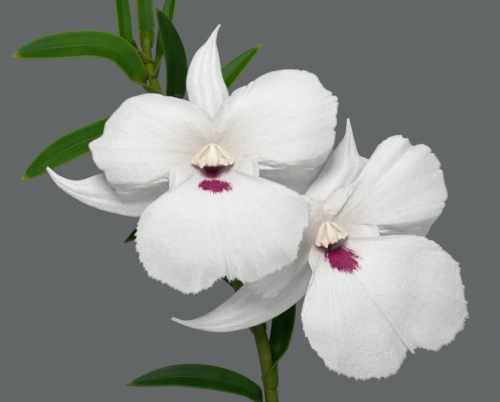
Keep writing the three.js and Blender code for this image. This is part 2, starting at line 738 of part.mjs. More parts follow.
// The pot's outside radius at a height, below the rim band
function potRadius(height) {
  return lerp(potFootRadius, potTopRadius - rimStep, height / potHeight);
}

// The pot: a tapered clay wall with a thicker rim band and four drain holes
function potGeometry() {
  const rimFoot = potHeight - rimHeight;
  const profile = [
    [0, 0],
    [potFootRadius, 0],
    [potRadius(rimFoot), rimFoot],
    [potTopRadius - rimTaper, rimFoot],
    [potTopRadius, potHeight - lipBevel],
    [potTopRadius - lipBevel, potHeight],
    [potRadius(potHeight) - potWall, potHeight],
    [potRadius(potFloor) - potWall, potFloor],
    [0, potFloor],
  ].map(([radius, height]) => new THREE.Vector2(radius, height));
  const shell = new THREE.LatheGeometry(profile, potSides);
  shell.rotateX(Math.PI / 2);
  let pot = toManifold(shell);
  for (let i = 0; i < drainCount; i++) {
    const angle = ((i + 0.5) / drainCount) * Math.PI * 2;
    const drain = new THREE.CylinderGeometry(drainRadius, drainRadius, potFloor * 4, 12);
    drain.rotateX(Math.PI / 2);
    drain.translate(drainRing * Math.cos(angle), drainRing * Math.sin(angle), 0);
    pot = pot.subtract(toManifold(drain));
  }
  return fromManifold(pot);
}

// The bark: a packed body inside the pot, its top covered with chips, with a hole for each cane
function barkGeometry() {
  const inner = (height) => potRadius(height) - potWall - barkGap / Math.cos(Math.PI / potSides);
  const foot = potFloor + barkGap;
  const body = new THREE.LatheGeometry([
    new THREE.Vector2(0, foot), new THREE.Vector2(inner(foot), foot),
    new THREE.Vector2(inner(barkTop), barkTop), new THREE.Vector2(0, barkTop),
  ], potSides);
  body.rotateX(Math.PI / 2);
  let bark = toManifold(body);
  const random = seededRandom(7);
  for (let i = 0; i < chipCount; i++) {
    const reach = chipReach * Math.sqrt((i + 0.5) / chipCount) - 5;
    const angle = i * Math.PI * (3 - Math.sqrt(5));
    const chip = new THREE.BoxGeometry(...chipSize.map((size, k) => size + chipSpread[k] * random()));
    chip.rotateX(chipTilt * (random() - 0.5));
    chip.rotateY(chipTilt * (random() - 0.5));
    chip.rotateZ(Math.PI * random());
    chip.translate(reach * Math.cos(angle), reach * Math.sin(angle), barkTop + 0.4 + 2 * random());
    bark = bark.add(toManifold(chip));
  }
  for (const line of [tallCane, ...sideCanes.map((cane) => cane.line)]) {
    const radius = caneFootRadius + nodeSwelling + holeClearance;
    const depth = barkTop - caneFoot + barkGap;
    const hole = new THREE.CylinderGeometry(radius, radius, 2 * depth, 12);
    hole.rotateX(Math.PI / 2);
    hole.translate(line[0][0], line[0][1], caneFoot - barkGap + depth);
    bark = bark.subtract(toManifold(hole));
  }
  return outerShell(fromManifold(bark));
}

const plant = new THREE.Group();
addPart(plant, 'pot', potGeometry(), clayMaterial());
addPart(plant, 'bark_medium', barkGeometry(), barkMaterial());
buildPlant(plant);
flowers.forEach((flower, i) => buildFlower(plant, flower, 100 * (i + 1)));

export default plant;
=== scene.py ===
import bpy
import math
import random
import numpy as np
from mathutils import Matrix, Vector, noise


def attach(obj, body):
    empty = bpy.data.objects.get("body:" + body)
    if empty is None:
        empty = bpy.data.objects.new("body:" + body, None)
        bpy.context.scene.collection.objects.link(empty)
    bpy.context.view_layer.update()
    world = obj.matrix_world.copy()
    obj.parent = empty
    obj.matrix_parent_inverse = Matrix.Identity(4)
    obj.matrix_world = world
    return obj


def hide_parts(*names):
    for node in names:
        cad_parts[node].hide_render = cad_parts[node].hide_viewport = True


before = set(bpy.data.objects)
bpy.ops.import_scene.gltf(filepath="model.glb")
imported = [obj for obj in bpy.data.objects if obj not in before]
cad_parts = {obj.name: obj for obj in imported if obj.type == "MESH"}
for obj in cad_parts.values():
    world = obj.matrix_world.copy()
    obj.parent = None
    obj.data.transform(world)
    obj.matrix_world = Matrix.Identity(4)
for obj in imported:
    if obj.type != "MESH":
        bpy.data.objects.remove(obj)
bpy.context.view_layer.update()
mm = 0.001

# general helpers

def deselectAll():
    if bpy.context.object and bpy.context.object.mode != "OBJECT":
        bpy.ops.object.mode_set(mode="OBJECT")
    bpy.ops.object.select_all(action="DESELECT")


def makeActive(piece, *others):
    deselectAll()
    for each in (piece, *others):
        each.select_set(True)
    bpy.context.view_layer.objects.active = piece


def applyModifier(piece, kind, settings):
    makeActive(piece)
    modifier = piece.modifiers.new(kind.title(), kind)
    for key, value in settings.items():
        setattr(modifier, key, value)
    bpy.ops.object.modifier_apply(modifier=modifier.name)


def cutAway(piece, drill):
    applyModifier(piece, "BOOLEAN", {"operation": "DIFFERENCE", "object": drill, "solver": "EXACT"})
    bpy.data.objects.remove(drill)


def closeSeams(piece, reach=0.02 * mm):
    makeActive(piece)
    bpy.ops.object.mode_set(mode="EDIT")
    bpy.ops.mesh.select_all(action="SELECT")
    bpy.ops.mesh.remove_doubles(threshold=reach)
    bpy.ops.mesh.normals_make_consistent(inside=False)
    bpy.ops.object.mode_set(mode="OBJECT")


def smooth(piece, angle=None):
    makeActive(piece)
    if angle is None:
        bpy.ops.object.shade_smooth()
    else:
        bpy.ops.object.shade_smooth_by_angle(angle=math.radians(angle))


def dress(piece, material, slot, *nodes):  # finish a piece: give it its material, hang it under the root and hide the imported parts it stands for
    piece.data.materials.clear()
    piece.data.materials.append(material)
    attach(piece, "root")
    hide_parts(*nodes)


def lerp(start, end, share):
    return start + (end - start) * share


def smoothStep(value, low, high):
    share = np.clip((value - low) / (high - low), 0, 1)
    return share * share * (3 - 2 * share)


def curveAt(points, shares):  # a centripetal curve through the points
    points = np.array(points, float)
    place = np.clip(np.asarray(shares, float), 0, 1) * (len(points) - 1)
    i = np.minimum(place.astype(int), len(points) - 2)
    w = (place - i)[:, None]
    padded = np.vstack([2 * points[0] - points[1], points, 2 * points[-1] - points[-2]])
    p0, p1, p2, p3 = (padded[i + k] for k in range(4))
    d0, d1, d2 = (np.sqrt(np.linalg.norm(b - a, axis=1))[:, None] + 1e-6
                  for a, b in ((p0, p1), (p1, p2), (p2, p3)))
    t1 = ((p1 - p0) / d0 - (p2 - p0) / (d0 + d1) + (p2 - p1) / d1) * d1
    t2 = ((p2 - p1) / d1 - (p3 - p1) / (d1 + d2) + (p3 - p2) / d2) * d1
    return p1 + t1 * w + (3 * (p2 - p1) - 2 * t1 - t2) * w ** 2 + (2 * (p1 - p2) + t1 + t2) * w ** 3


def evenShares(points, count, samples=800):  # shares of the curve that lie evenly along its length
    shares = np.linspace(0, 1, samples)
    steps = np.linalg.norm(np.diff(curveAt(points, shares), axis=0), axis=1)
    length = np.concatenate([[0], np.cumsum(steps)])
    return np.interp(np.linspace(0, length[-1], count), length, shares)


def randomLine(seed, knots, count):  # a smooth random line from -1 to 1
    rng = np.random.default_rng(seed)
    heights = rng.uniform(-1, 1, (knots, 1))
    return curveAt(heights, np.linspace(0, 1, count))[:, 0]


def noiseAt(x, y, z=0.0):
    x, y, z = np.broadcast_arrays(x, y, z)
    flat = [noise.noise((a, b, c)) for a, b, c in zip(x.ravel(), y.ravel(), z.ravel())]
    return np.array(flat).reshape(x.shape)


def gridPiece(name, points, uvSize=(1, 1)):  # a grid primitive laid on rows of points, in mm
    rows, columns = points.shape[:2]
    deselectAll()
    bpy.ops.mesh.primitive_grid_add(x_subdivisions=columns - 1, y_subdivisions=rows - 1, size=1)
    piece = bpy.context.object
    piece.name = piece.data.name = f"{name}_fine"  # the solid it stands for holds the plain name
    flat = np.empty(len(piece.data.vertices) * 3)
    piece.data.vertices.foreach_get("co", flat)
    place = flat.reshape(-1, 3) + 0.5
    column = np.rint(place[:, 0] * (columns - 1)).astype(int)
    row = np.rint(place[:, 1] * (rows - 1)).astype(int)
    piece.data.vertices.foreach_set("co", (points[row, column] * mm).ravel())
    layer = piece.data.uv_layers.active.data
    uv = np.empty(len(layer) * 2)
    layer.foreach_get("uv", uv)
    layer.foreach_set("uv", (uv.reshape(-1, 2) * uvSize).ravel())
    piece.data.update()
    return piece


def thicken(piece, thickness, margin):  # margin holds each point's share of it, row by row
    group = piece.vertex_groups.new(name="thickness")
    for i, share in enumerate(margin.ravel()):
        group.add([i], float(share), "REPLACE")
    applyModifier(piece, "SOLIDIFY", {
        "thickness": thickness * mm, "offset": 0, "vertex_group": group.name})
    piece.vertex_groups.clear()
    smooth(piece)


# materials

mixShare, mixFirst, mixSecond = 0, 6, 7  # the sockets of a colour mix


def linearColour(hexValue):
    channels = [int(hexValue[i:i + 2], 16) / 255 for i in (1, 3, 5)]
    linear = [c / 12.92 if c <= 0.04045 else ((c + 0.055) / 1.055) ** 2.4 for c in channels]
    return (*linear, 1)


def addNode(material, kind, settings={}):  # a node or a socket is linked, any other value set
    node = material.node_tree.nodes.new(f"ShaderNode{kind}")
    for key, value in settings.items():
        if isinstance(value, bpy.types.Node):  # it stands for its first output in use
            value = next(output for output in value.outputs if output.enabled)
        if key == "stops":
            while len(node.color_ramp.elements) < len(value):
                node.color_ramp.elements.new(1)
            for element, (position, colour) in zip(node.color_ramp.elements, value):
                element.position = position
                isHex = isinstance(colour, str)
                element.color = linearColour(colour) if isHex else (colour,) * 3 + (1,)
        elif isinstance(value, bpy.types.NodeSocket):
            material.node_tree.links.new(value, node.inputs[key])
        elif isinstance(key, int) or key in node.inputs:
            isHex = isinstance(value, str)
            node.inputs[key].default_value = linearColour(value) if isHex else value
        else:
            setattr(node, key, value)
    return node


def startMaterial(name):  # a bare material, with the places that patterns can follow
    material = bpy.data.materials.new(name)
    material.use_nodes = True
    material.node_tree.nodes.clear()
    return material, addNode(material, "TexCoord").outputs


def finishMaterial(material, settings):
    surface = addNode(material, "BsdfPrincipled", settings)
    addNode(material, "OutputMaterial", {"Surface": surface})
    return material


petalLook = {
    "white": "#F3F4F4",  # lit petal
    "vein": "#E5E8E6",  # faint water-clear veins
    "heart": "#E4DAD2",  # warm shade close to the column
    "heartReach": (5, 15),  # mm from the column's middle
    "veins": (15, 0.9),  # to a cm across and along, as the petals' UV maps are in cm
    "grain": 0.55,  # mm, crystal cells of the skin, drawn coarse so that they show
    "pebble": 1.7,  # mm, the soft dimples between the veins
    "cloud": 6,  # mm
}
petalTissue = {
    "Roughness": 0.5, "IOR": 1.4, "Subsurface Weight": 0.25, "Subsurface Scale": 1.2 * mm,
    "Subsurface Radius": (1.0, 0.95, 0.85), "Sheen Weight": 0.12, "Sheen Roughness": 0.4,
}


# Petal tissue: waxy white skin over air-filled cells, so it glows softly and sparkles a little
def petalMaterial(name, centre):
    material, places = startMaterial(name)
    colour, bump = petalSkin(material, places, centre)
    return finishMaterial(material, {**petalTissue, "Base Color": colour, "Normal": bump})


def petalSkin(material, places, centre):
    look = petalLook
    near, far = look["heartReach"]
    fromHeart = addNode(material, "Mapping", {
        "Location": tuple(-c * mm for c in centre), "Vector": places["Object"]})
    reach = addNode(material, "VectorMath", {"operation": "LENGTH", 0: fromHeart})
    nearHeart = addNode(material, "MapRange", {
        "From Min": near * mm, "From Max": far * mm, "To Min": 0.75, "To Max": 0.0, "Value": reach})
    along = addNode(material, "Mapping", {"Scale": (*look["veins"], 1), "Vector": places["UV"]})
    veins = addNode(material, "TexNoise", {
        "Scale": 1.0, "Detail": 3.0, "Roughness": 0.6, "Vector": along})
    veinShare = addNode(material, "ValToRGB", {"stops": [(0.38, 0.0), (0.68, 0.6)], "Fac": veins})
    grain = addNode(material, "TexNoise", {
        "Scale": 1 / (look["grain"] * mm), "Detail": 2.0, "Roughness": 0.7,
        "Vector": places["Object"]})
    cloud = addNode(material, "TexNoise", {
        "Scale": 1 / (look["cloud"] * mm), "Detail": 2.0, "Vector": places["Object"]})
    pebbles = addNode(material, "TexNoise", {
        "Scale": 1 / (look["pebble"] * mm), "Detail": 2.0, "Distortion": 0.4,
        "Vector": places["Object"]})
    colour = look["white"]
    for share, layer in ((veinShare, "vein"), (cloud, "white"), (nearHeart, "heart")):
        colour = addNode(material, "Mix", {
            "data_type": "RGBA", mixShare: share, mixFirst: colour, mixSecond: look[layer]})
    fine = addNode(material, "Math", {"operation": "MULTIPLY_ADD", 0: veins, 1: 0.22, 2: grain})
    height = addNode(material, "Math", {"operation": "MULTIPLY_ADD", 0: pebbles, 1: 1.1, 2: fine})
    bump = addNode(material, "Bump", {"Strength": 0.6, "Distance": 0.4 * mm, "Height": height})
    return colour, bump


markLook = {
    "throat": "#F2E6E6",  # mauve grey mouth of the funnel
    "throatDeep": "#A23A64",
    "mark": "#A8166C",
    "markDeep": "#740436",
    "fringe": "#E6A6CA",
    "freckle": 0.7,  # mm, grains of pigment at the mark's edge
    "throatMiddle": (0, 0.2), "throatSquash": 1.12, "throatEdge": 0.9,  # mm
    "deepReach": (1.4, 3.3),  # mm
}


# The lip is petal tissue with pigment: a dark throat, and a purple mark frayed along the veins
def lipMaterial(name, flower):
    look, lip, mark = markLook, flower["lip"], flower["lip"]["mark"]
    cx, cy, cz = flower["centre"]
    material, places = startMaterial(name)
    white, bump = petalSkin(material, places, flower["centre"])
    throatShares = []
    for (x, z), squash, (near, far) in (
            (look["throatMiddle"], look["throatSquash"],
             (lip["throat"], lip["throat"] + look["throatEdge"])),
            (lip["deep"], 1, look["deepReach"])):
        moved = addNode(material, "Mapping", {
            "Location": (-(cx + x) * mm, 0, -(cz + z) * mm), "Vector": places["Object"]})
        flat = addNode(material, "VectorMath", {
            "operation": "MULTIPLY", 0: moved, 1: (1, 0, squash)})
        reach = addNode(material, "VectorMath", {"operation": "LENGTH", 0: flat})
        throatShares.append(addNode(material, "MapRange", {
            "From Min": near * mm, "From Max": far * mm, "To Min": 1.0, "To Max": 0.0,
            "Value": reach}))
    throatShare, deepShare = throatShares
    # the mark is an ellipse, turned to its lip, with an edge that frays along the veins
    turned = addNode(material, "Mapping", {
        "vector_type": "TEXTURE",
        "Location": ((cx + mark["x"]) * mm, cy * mm, (cz + mark["z"]) * mm),
        "Rotation": (0, math.radians(mark["turn"]), 0),
        "Scale": (mark["halfWidth"] * mm, 1, mark["halfHeight"] * mm), "Vector": places["Object"]})
    turnedFlat = addNode(material, "VectorMath", {
        "operation": "MULTIPLY", 0: turned, 1: (1, 0, 1)})
    markReach = addNode(material, "VectorMath", {"operation": "LENGTH", 0: turnedFlat})
    rays = addNode(material, "Mapping", {"Scale": (4.5, 0.8, 1), "Vector": places["UV"]})
    fray = addNode(material, "TexNoise", {
        "Scale": 1.0, "Detail": 3.0, "Roughness": 0.65, "Vector": rays})
    freckles = addNode(material, "TexNoise", {
        "Scale": 1 / (look["freckle"] * mm), "Detail": 2.0, "Roughness": 0.7,
        "Vector": places["Object"]})
    streaked = addNode(material, "Math", {
        "operation": "MULTIPLY_ADD", 0: fray, 1: 1.35, 2: markReach})
    frayed = addNode(material, "Math", {
        "operation": "MULTIPLY_ADD", 0: freckles, 1: 0.55, 2: streaked})
    lowered = addNode(material, "Math", {"operation": "MULTIPLY", 0: frayed, 1: 0.5})
    markShare = addNode(material, "ValToRGB", {
        "stops": [(0.0, 1.0), (0.84, 1.0), (0.92, 0.0)], "Fac": lowered})
    fringeShare = addNode(material, "ValToRGB", {
        "stops": [(0.0, 0.8), (0.84, 0.8), (1.0, 0.0)], "Fac": lowered})
    toneShare = addNode(material, "ValToRGB", {
        "stops": [(0.38, 0.0), (0.62, 1.0)], "Fac": freckles})
    markColour = addNode(material, "Mix", {
        "data_type": "RGBA", mixShare: toneShare, mixFirst: look["markDeep"],
        mixSecond: look["mark"]})
    throatColour = addNode(material, "Mix", {
        "data_type": "RGBA", mixShare: deepShare, mixFirst: look["throat"],
        mixSecond: look["throatDeep"]})
    colour = white
    for share, layer in (
            (fringeShare, look["fringe"]), (markShare, markColour), (throatShare, throatColour)):
        colour = addNode(material, "Mix", {
            "data_type": "RGBA", mixShare: share, mixFirst: colour, mixSecond: layer})
    return finishMaterial(material, {
        **petalTissue, "Subsurface Weight": 0.22, "Base Color": colour, "Normal": bump})


columnLook = {
    "cream": "#FBF3E4", "pink": "#F2C6B6", "white": "#DCCDC8",
    "inside": "#7A3048",  # plum on the round foot behind the hood; under the hood it is partly plum and partly painted shade
    "soft": 1.4,  # mm, cloudy flush
}
# where each band starts and ends, from the column's middle in mm, and its strength at both
columnBands = {
    "low": ("Z", -2.6, 0.4, 0.9, 0.0), "beneath": ("Z", -1.2, -1.9, 0.0, 1.0),
    "behind": ("Y", -6.9, -6.3, 0.0, 1.0),
    "side": ("X", 1.8, 3.0, 0.0, 0.85), "middle": ("X", 2.0, 3.2, 1.0, 0.15),
}


# Column tissue: denser and waxier than the petals, cream on top and flushed pink at the rim
def columnMaterial(name, centre):
    look = columnLook
    material, places = startMaterial(name)
    local = addNode(material, "Mapping", {
        "Location": tuple(-c * mm for c in centre), "Vector": places["Object"]})
    parts = addNode(material, "SeparateXYZ", {0: local})
    sideways = addNode(material, "Math", {"operation": "ABSOLUTE", 0: parts.outputs["X"]})
    soft = addNode(material, "TexNoise", {
        "Scale": 1 / (look["soft"] * mm), "Detail": 2.0, "Vector": places["Object"]})
    shares = {}
    for band, (axis, start, end, first, last) in columnBands.items():
        shares[band] = addNode(material, "MapRange", {
            "From Min": start * mm, "From Max": end * mm, "To Min": first, "To Max": last,
            "Value": sideways if axis == "X" else parts.outputs[axis]})
    surface = addNode(material, "NewGeometry")
    facing = addNode(material, "SeparateXYZ", {0: surface.outputs["True Normal"]})
    # faces that look down under the hood are painted plum: partly its own plum, partly painted
    # shade
    down = addNode(material, "MapRange", {
        "From Min": -0.55, "From Max": -0.9, "To Min": 0.0, "To Max": 0.85,
        "Value": facing.outputs["Z"]})
    plumAndPaintedShade = addNode(material, "Math", {"operation": "MULTIPLY", 0: down, 1: shares["middle"]})
    wall = addNode(material, "Math", {
        "operation": "MULTIPLY", 0: shares["behind"], 1: shares["beneath"]})
    colour = look["cream"]
    for share, layer in ((shares["low"], "pink"), (shares["side"], "white"), (soft, "cream"),
                         (plumAndPaintedShade, "inside"), (wall, "inside")):
        colour = addNode(material, "Mix", {
            "data_type": "RGBA", mixShare: share, mixFirst: colour, mixSecond: look[layer]})
    bump = addNode(material, "Bump", {"Strength": 0.25, "Distance": 0.2 * mm, "Height": soft})
    return finishMaterial(material, {
        "Roughness": 0.35, "IOR": 1.42, "Subsurface Weight": 0.3, "Subsurface Scale": 1.5 * mm,
        "Subsurface Radius": (1.0, 0.7, 0.55), "Coat Weight": 0.15, "Coat Roughness": 0.3,
        "Base Color": colour, "Normal": bump})


# flowers: outlines are [x, z] in mm from the middle of the flower's column

flowers = [
    {
        "name": "flower_1", "centre": (-10.4, -24, 318.3), "turn": 0, "lean": 0, "roll": 0,
        "columnShare": 1,
        "dorsal": {
            "left": [[-2.2, 3.3], [-5.6, 8.5], [-6.6, 15.7], [-7.4, 21.6], [-5, 29.1],
                     [-1.8, 32.6], [0.2, 35.6], [1.7, 37.5]],
            "right": [[2.2, 3.3], [5, 9], [4.4, 17.9], [2.7, 22.5], [1.6, 29], [0.9, 32.4],
                      [1.4, 35.8], [2.2, 37.5]],
            "depth": 1.5, "sweep": 0.02, "reflex": 5, "arch": 0.3, "keel": 0.5,
        },
        "sepalLeft": {
            "left": [[-2.0, -3.3], [-12, -12.5], [-20, -16.4], [-27, -15.6], [-35.6, -12.9],
                     [-43.7, -7.8], [-47.2, -2.9]],
            "right": [[-3.7, -1.9], [-14, -2.2], [-24, -3.2], [-31.1, -4.2], [-38.4, -6.3],
                      [-43.2, -5], [-46.8, -2.3]],
            "depth": 1.6, "sweep": 0.26, "reflex": 2, "arch": 0.25, "keel": 0.5,
        },
        "sepalRight": {
            "left": [[3.7, -1.9], [14, 0.8], [24, 2.2], [33.9, 2.4], [40.5, 1], [44.4, -0.4],
                     [47.6, -2.2]],
            "right": [[2.0, -3.3], [13, -9.5], [22, -12.2], [32, -11], [39, -7.6], [43.4, -4.4],
                      [47.2, -2.8]],
            "depth": 1.6, "sweep": 0.42, "reflex": 2, "arch": 0.25, "keel": 0.5,
        },
        "petalLeft": {
            "root": [[0.3, 3.4], [-3.7, -0.9]],
            "rim": [[0.4, 9.6], [-2.8, 13.6], [-6.6, 15.5], [-10.8, 16.9], [-18.2, 17.9],
                    [-23.8, 16.3], [-26.5, 13.4], [-30, 9.8], [-30.8, 6.2], [-34.4, 3.6],
                    [-33.3, -0.3], [-29.4, -6.7], [-24.6, -12], [-17.5, -9.6], [-10.5, -5.4]],
            "ridge": [[-30, -6.6], [-18.5, -6.5], [-11.5, -3.1], [-3, -0.4]],
            "bulge": 3.2, "back": 2.2, "fold": 1.6, "behind": 0.3,
        },
        "petalRight": {
            "root": [[-0.3, 3.4], [3.7, -0.9]],
            "rim": [[-0.2, 9.8], [2.4, 14.6], [5.4, 18], [10.4, 21], [16.2, 23.9], [22.1, 24.7],
                    [28.3, 23.1], [32, 18.9], [34.4, 17.2], [35, 13.4], [33.7, 4.5], [32.2, 0.5],
                    [27.2, -3.9], [20.2, -6.2], [11.5, -3.6]],
            "ridge": [[3, -0.4], [10.4, 1.3], [19.3, -0.9], [28.3, 0.2], [34, 3.6]],
            "bulge": 3.4, "back": 2.2, "fold": 1.6, "behind": -0.3,
        },
        "lip": {
            "axis": 273,
            "rim": [[-6.9, -1.6], [-11.5, -3.2], [-11.8, -7], [-12.4, -9.9], [-17.9, -13.7],
                    [-21, -19.6], [-20.7, -25.5], [-18.2, -31.6], [-13.7, -34.8], [-6.7, -38],
                    [-1, -36.2], [3.1, -32.8], [5, -34.5], [6.2, -32.8], [8.5, -34.3],
                    [14.3, -33.6], [18.9, -30.7], [22.3, -29.2], [24.6, -24.1], [26.6, -17.6],
                    [25.6, -11.8], [19.6, -7.8], [13.2, -7], [12.9, -3.1], [12, -0.6], [7, -0.7]],
            "groove": (0, -1), "curl": 5.8, "throat": 6.4, "deep": (-0.3, -4.2),
            "mark": {"x": 0.7, "z": -7.9, "halfWidth": 5.0, "halfHeight": 2.1, "turn": 4},
        },
        "stalk": [[-13.2, -2.6, 303], [-12.4, -9, 304.5], [-10.9, -16.5, 311.5],
                  [-10.4, -20.5, 317.6]],
    },
    {
        "name": "flower_2", "centre": (21.8, -16, 296.8), "turn": 0.3, "lean": 0.15, "roll": 20,
        "columnShare": 0.8,
        "dorsal": {
            "left": [[-2.2, 3.3], [-5.6, 6], [-6.9, 10], [-5, 13.4], [-2.2, 17], [0.3, 21],
                     [3.1, 25.2], [5, 28], [5.7, 32.8]],
            "right": [[2.2, 3.3], [6.4, 9], [9.6, 15.6], [11.7, 19.8], [9.0, 22.4], [7.8, 26.2],
                      [6.8, 30.2], [6.2, 32.8]],
            "depth": 1.5, "sweep": 0.02, "reflex": 4, "arch": 0.3, "keel": 0.6,
        },
        "sepalLeft": {
            "left": [[-0.6, -3.8], [-5.6, -15.8], [-12.9, -22.1], [-20.6, -25.7], [-30, -27.4],
                     [-38.6, -26], [-44, -23.8]],
            "right": [[-3.2, -2.3], [-11.6, -6.5], [-20.6, -11.6], [-28.3, -18.5], [-34.2, -22.4],
                      [-39.6, -24.2], [-43.6, -23.2]],
            "depth": 1.6, "sweep": 0.24, "reflex": 2, "arch": 0.25, "keel": 0.5,
        },
        "sepalRight": {
            "left": [[3.6, 1], [10, 4.6], [17, 5.4], [23, 3.6], [27.4, 0.2], [29.4, -3.6]],
            "right": [[3.7, -1.8], [9, -6.6], [16, -9.6], [22, -9.6], [26.4, -7.4], [29, -4.2]],
            "depth": 1.8, "sweep": 0.3, "reflex": 2, "arch": 0.25, "keel": 0.4,
        },
        "petalLeft": {
            "root": [[-0.6, 3.2], [-3.5, -1.4]],
            "rim": [[-1.0, 8.6], [-7.2, 11], [-13, 10.4], [-19, 7.8], [-24, 2.8], [-26.3, -3.8],
                    [-25.8, -9.8], [-23.2, -14.2], [-19.2, -17], [-16, -18.6], [-12.4, -15.8],
                    [-7.2, -10.3], [-4.6, -5.6]],
            "ridge": [[-28.6, -24], [-1.6, -6]],
            "bulge": 2.6, "back": 1.6, "fold": 0.6, "behind": 0.3,
        },
        "petalRight": {
            "root": [[-0.9, 3.3], [3.6, -0.4]],
            "rim": [[-1.4, 8.8], [2.2, 12.0], [6.8, 14.4], [10.6, 17.2], [12.7, 20.8], [14.4, 25],
                    [17.4, 27.3], [21.8, 28.1], [24, 24.9], [26.6, 25.6], [30, 23.6],
                    [32.6, 18.6], [34, 12], [33.2, 7.4], [30.6, 3.8], [27.2, -0.9], [19.4, -1.4],
                    [11.6, 0.2]],
            "ridge": [[4.4, 1.4], [13.4, 3.6], [23.4, 3.8], [35.4, 6]],
            "bulge": 3.2, "back": 2.2, "fold": 1.7, "behind": -0.3,
        },
        "lip": {
            "axis": 297,
            "rim": [[-4.4, -2.6], [-5.5, -6.4], [-4.2, -11.5], [-6.5, -17.5], [-7.4, -23.8],
                    [-4.8, -30.5], [0.6, -37.3], [5.9, -39.8], [14.6, -40.7], [20.3, -37.7],
                    [23, -32.3], [24, -33.4], [25.1, -31.9], [30.9, -32.7], [36, -29.6],
                    [39.5, -22.4], [38.8, -16.9], [37.2, -9.5], [34.4, -5.9], [30, -2.2],
                    [23.2, -0.1], [15.4, -1.4], [13.3, 2.9], [9.5, 3.4], [6.3, 2.2]],
            "groove": (0.58, -0.81), "curl": 5.4, "throat": 4.3, "deep": (-1.4, -3.4),
            "mark": {"x": 3.9, "z": -6.6, "halfWidth": 6.3, "halfHeight": 3.9, "turn": 28},
        },
        "stalk": [[-1.2, -2.2, 283.4], [5, -5.4, 284.8], [14.5, -8.6, 290], [20.6, -11.6, 295.6]],
    },
]

blades = {
    "thickness": 0.7,  # mm at the middle of petals, sepals and lips
    "edge": 0.35, "rimReach": 0.25, "sideReach": 0.12,  # its share at the margin, and how far in
    "throatRadius": 3.6,  # mm, where sepals and lips start
}


def flowerPoints(flower, x, z, depth):  # depth runs back from the column's middle
    cx, cy, cz = flower["centre"]
    return np.stack([cx + x, cy + depth + flower["turn"] * x, cz + z], axis=-1)


def bladeMargin(rows, columns, sides=True):  # thinner towards the rim
    v = np.linspace(0, 1, rows)[:, None]
    u = np.linspace(0, 1, columns)[None, :]
    rimWard = smoothStep(1 - v, 0, blades["rimReach"]) + np.zeros((rows, columns))
    if sides:
        rimWard = rimWard * smoothStep(np.minimum(u, 1 - u), 0, blades["sideReach"])
    return lerp(blades["edge"], 1, rimWard)


sepalShape = {
    "columns": 29, "rows": 111, "uvSize": (1.1, 4.5),  # cm
    "keelWidth": 0.16,  # share of the half width
    "grooveDepth": 0.1, "waveDepth": 0.5, "waveSize": 7,  # mm
    "grooves": 16,  # radians of them to half the width
}


def sepalPiece(flower, key, name, material):
    shape, sepal = sepalShape, flower[key]
    left, right = (curveAt(sepal[side], evenShares(sepal[side], shape["rows"]))
                   for side in ("left", "right"))
    u = np.linspace(0, 1, shape["columns"])[None, :]
    v = np.linspace(0, 1, shape["rows"])[:, None]
    place = lerp(left[:, None, :], right[:, None, :], u[..., None])
    x, z = place[..., 0], place[..., 1]
    halfWidth = np.linalg.norm(left - right, axis=1)[:, None] / 2
    edge = 2 * u - 1
    reach = np.hypot(x, z) - blades["throatRadius"]
    depth = sepal["depth"] + sepal["sweep"] * reach + sepal["reflex"] * v ** 3
    depth = depth + sepal["arch"] * halfWidth * edge ** 2
    ends = np.sin(np.pi * np.clip(v, 0, 1)) ** 0.5  # keel and waves fade out at both ends
    keel = sepal["keel"] * np.exp(-(edge / shape["keelWidth"]) ** 2) * ends
    grooves = shape["grooveDepth"] * np.cos(edge * shape["grooves"]) * np.sin(np.pi * v)
    size = shape["waveSize"]
    wave = shape["waveDepth"] * noiseAt(x / size, z / size, len(name) * 3.1) * ends
    points = flowerPoints(flower, x, z, depth - keel + grooves + wave)
    piece = gridPiece(name, points, shape["uvSize"])
    thicken(piece, blades["thickness"], bladeMargin(shape["rows"], shape["columns"]))
    dress(piece, material, "petal", name)


petalShape = {
    "columns": 221, "rows": 57, "uvSize": (8, 3),  # cm
    "lobes": 26, "lobeHeight": 0.35,  # broad waves of the rim
    "notches": 74, "notchFrom": 0.25, "notchDepth": 1.1,  # small nicks in it
    "foldReach": (4, 22),  # mm from the column over which the lower fold sets in
    "crinkleStart": 3,  # mm below the ridge
    "innerHeight": 0.35, "innerReach": 0.2, "tuckReach": 0.1,  # flatter where the two petals meet
    "dome": 0.86,  # share of half a wave from root to rim
    # how deep, wide and high the crinkles, creases and waves are, in mm
    "coarse": (1.7, 4.5, 1.15), "small": (1.1, 2.1, 0.7), "crease": (0.6, 2.2, 1.3),
    "broad": (0.9, 9, 9),
    "creaseHeight": 8.5, "creaseReach": 4.5, "creaseStart": 0.06,  # creases lie above the column
    "pleats": 60, "pleatDepth": 0.07, "ripples": 22, "rippleDepth": 0.7,
}


def relief(size, x, z, seed):  # bumps of a given depth, width and height
    depth, wide, high = size
    return depth * noiseAt(x / wide, z / high, seed)


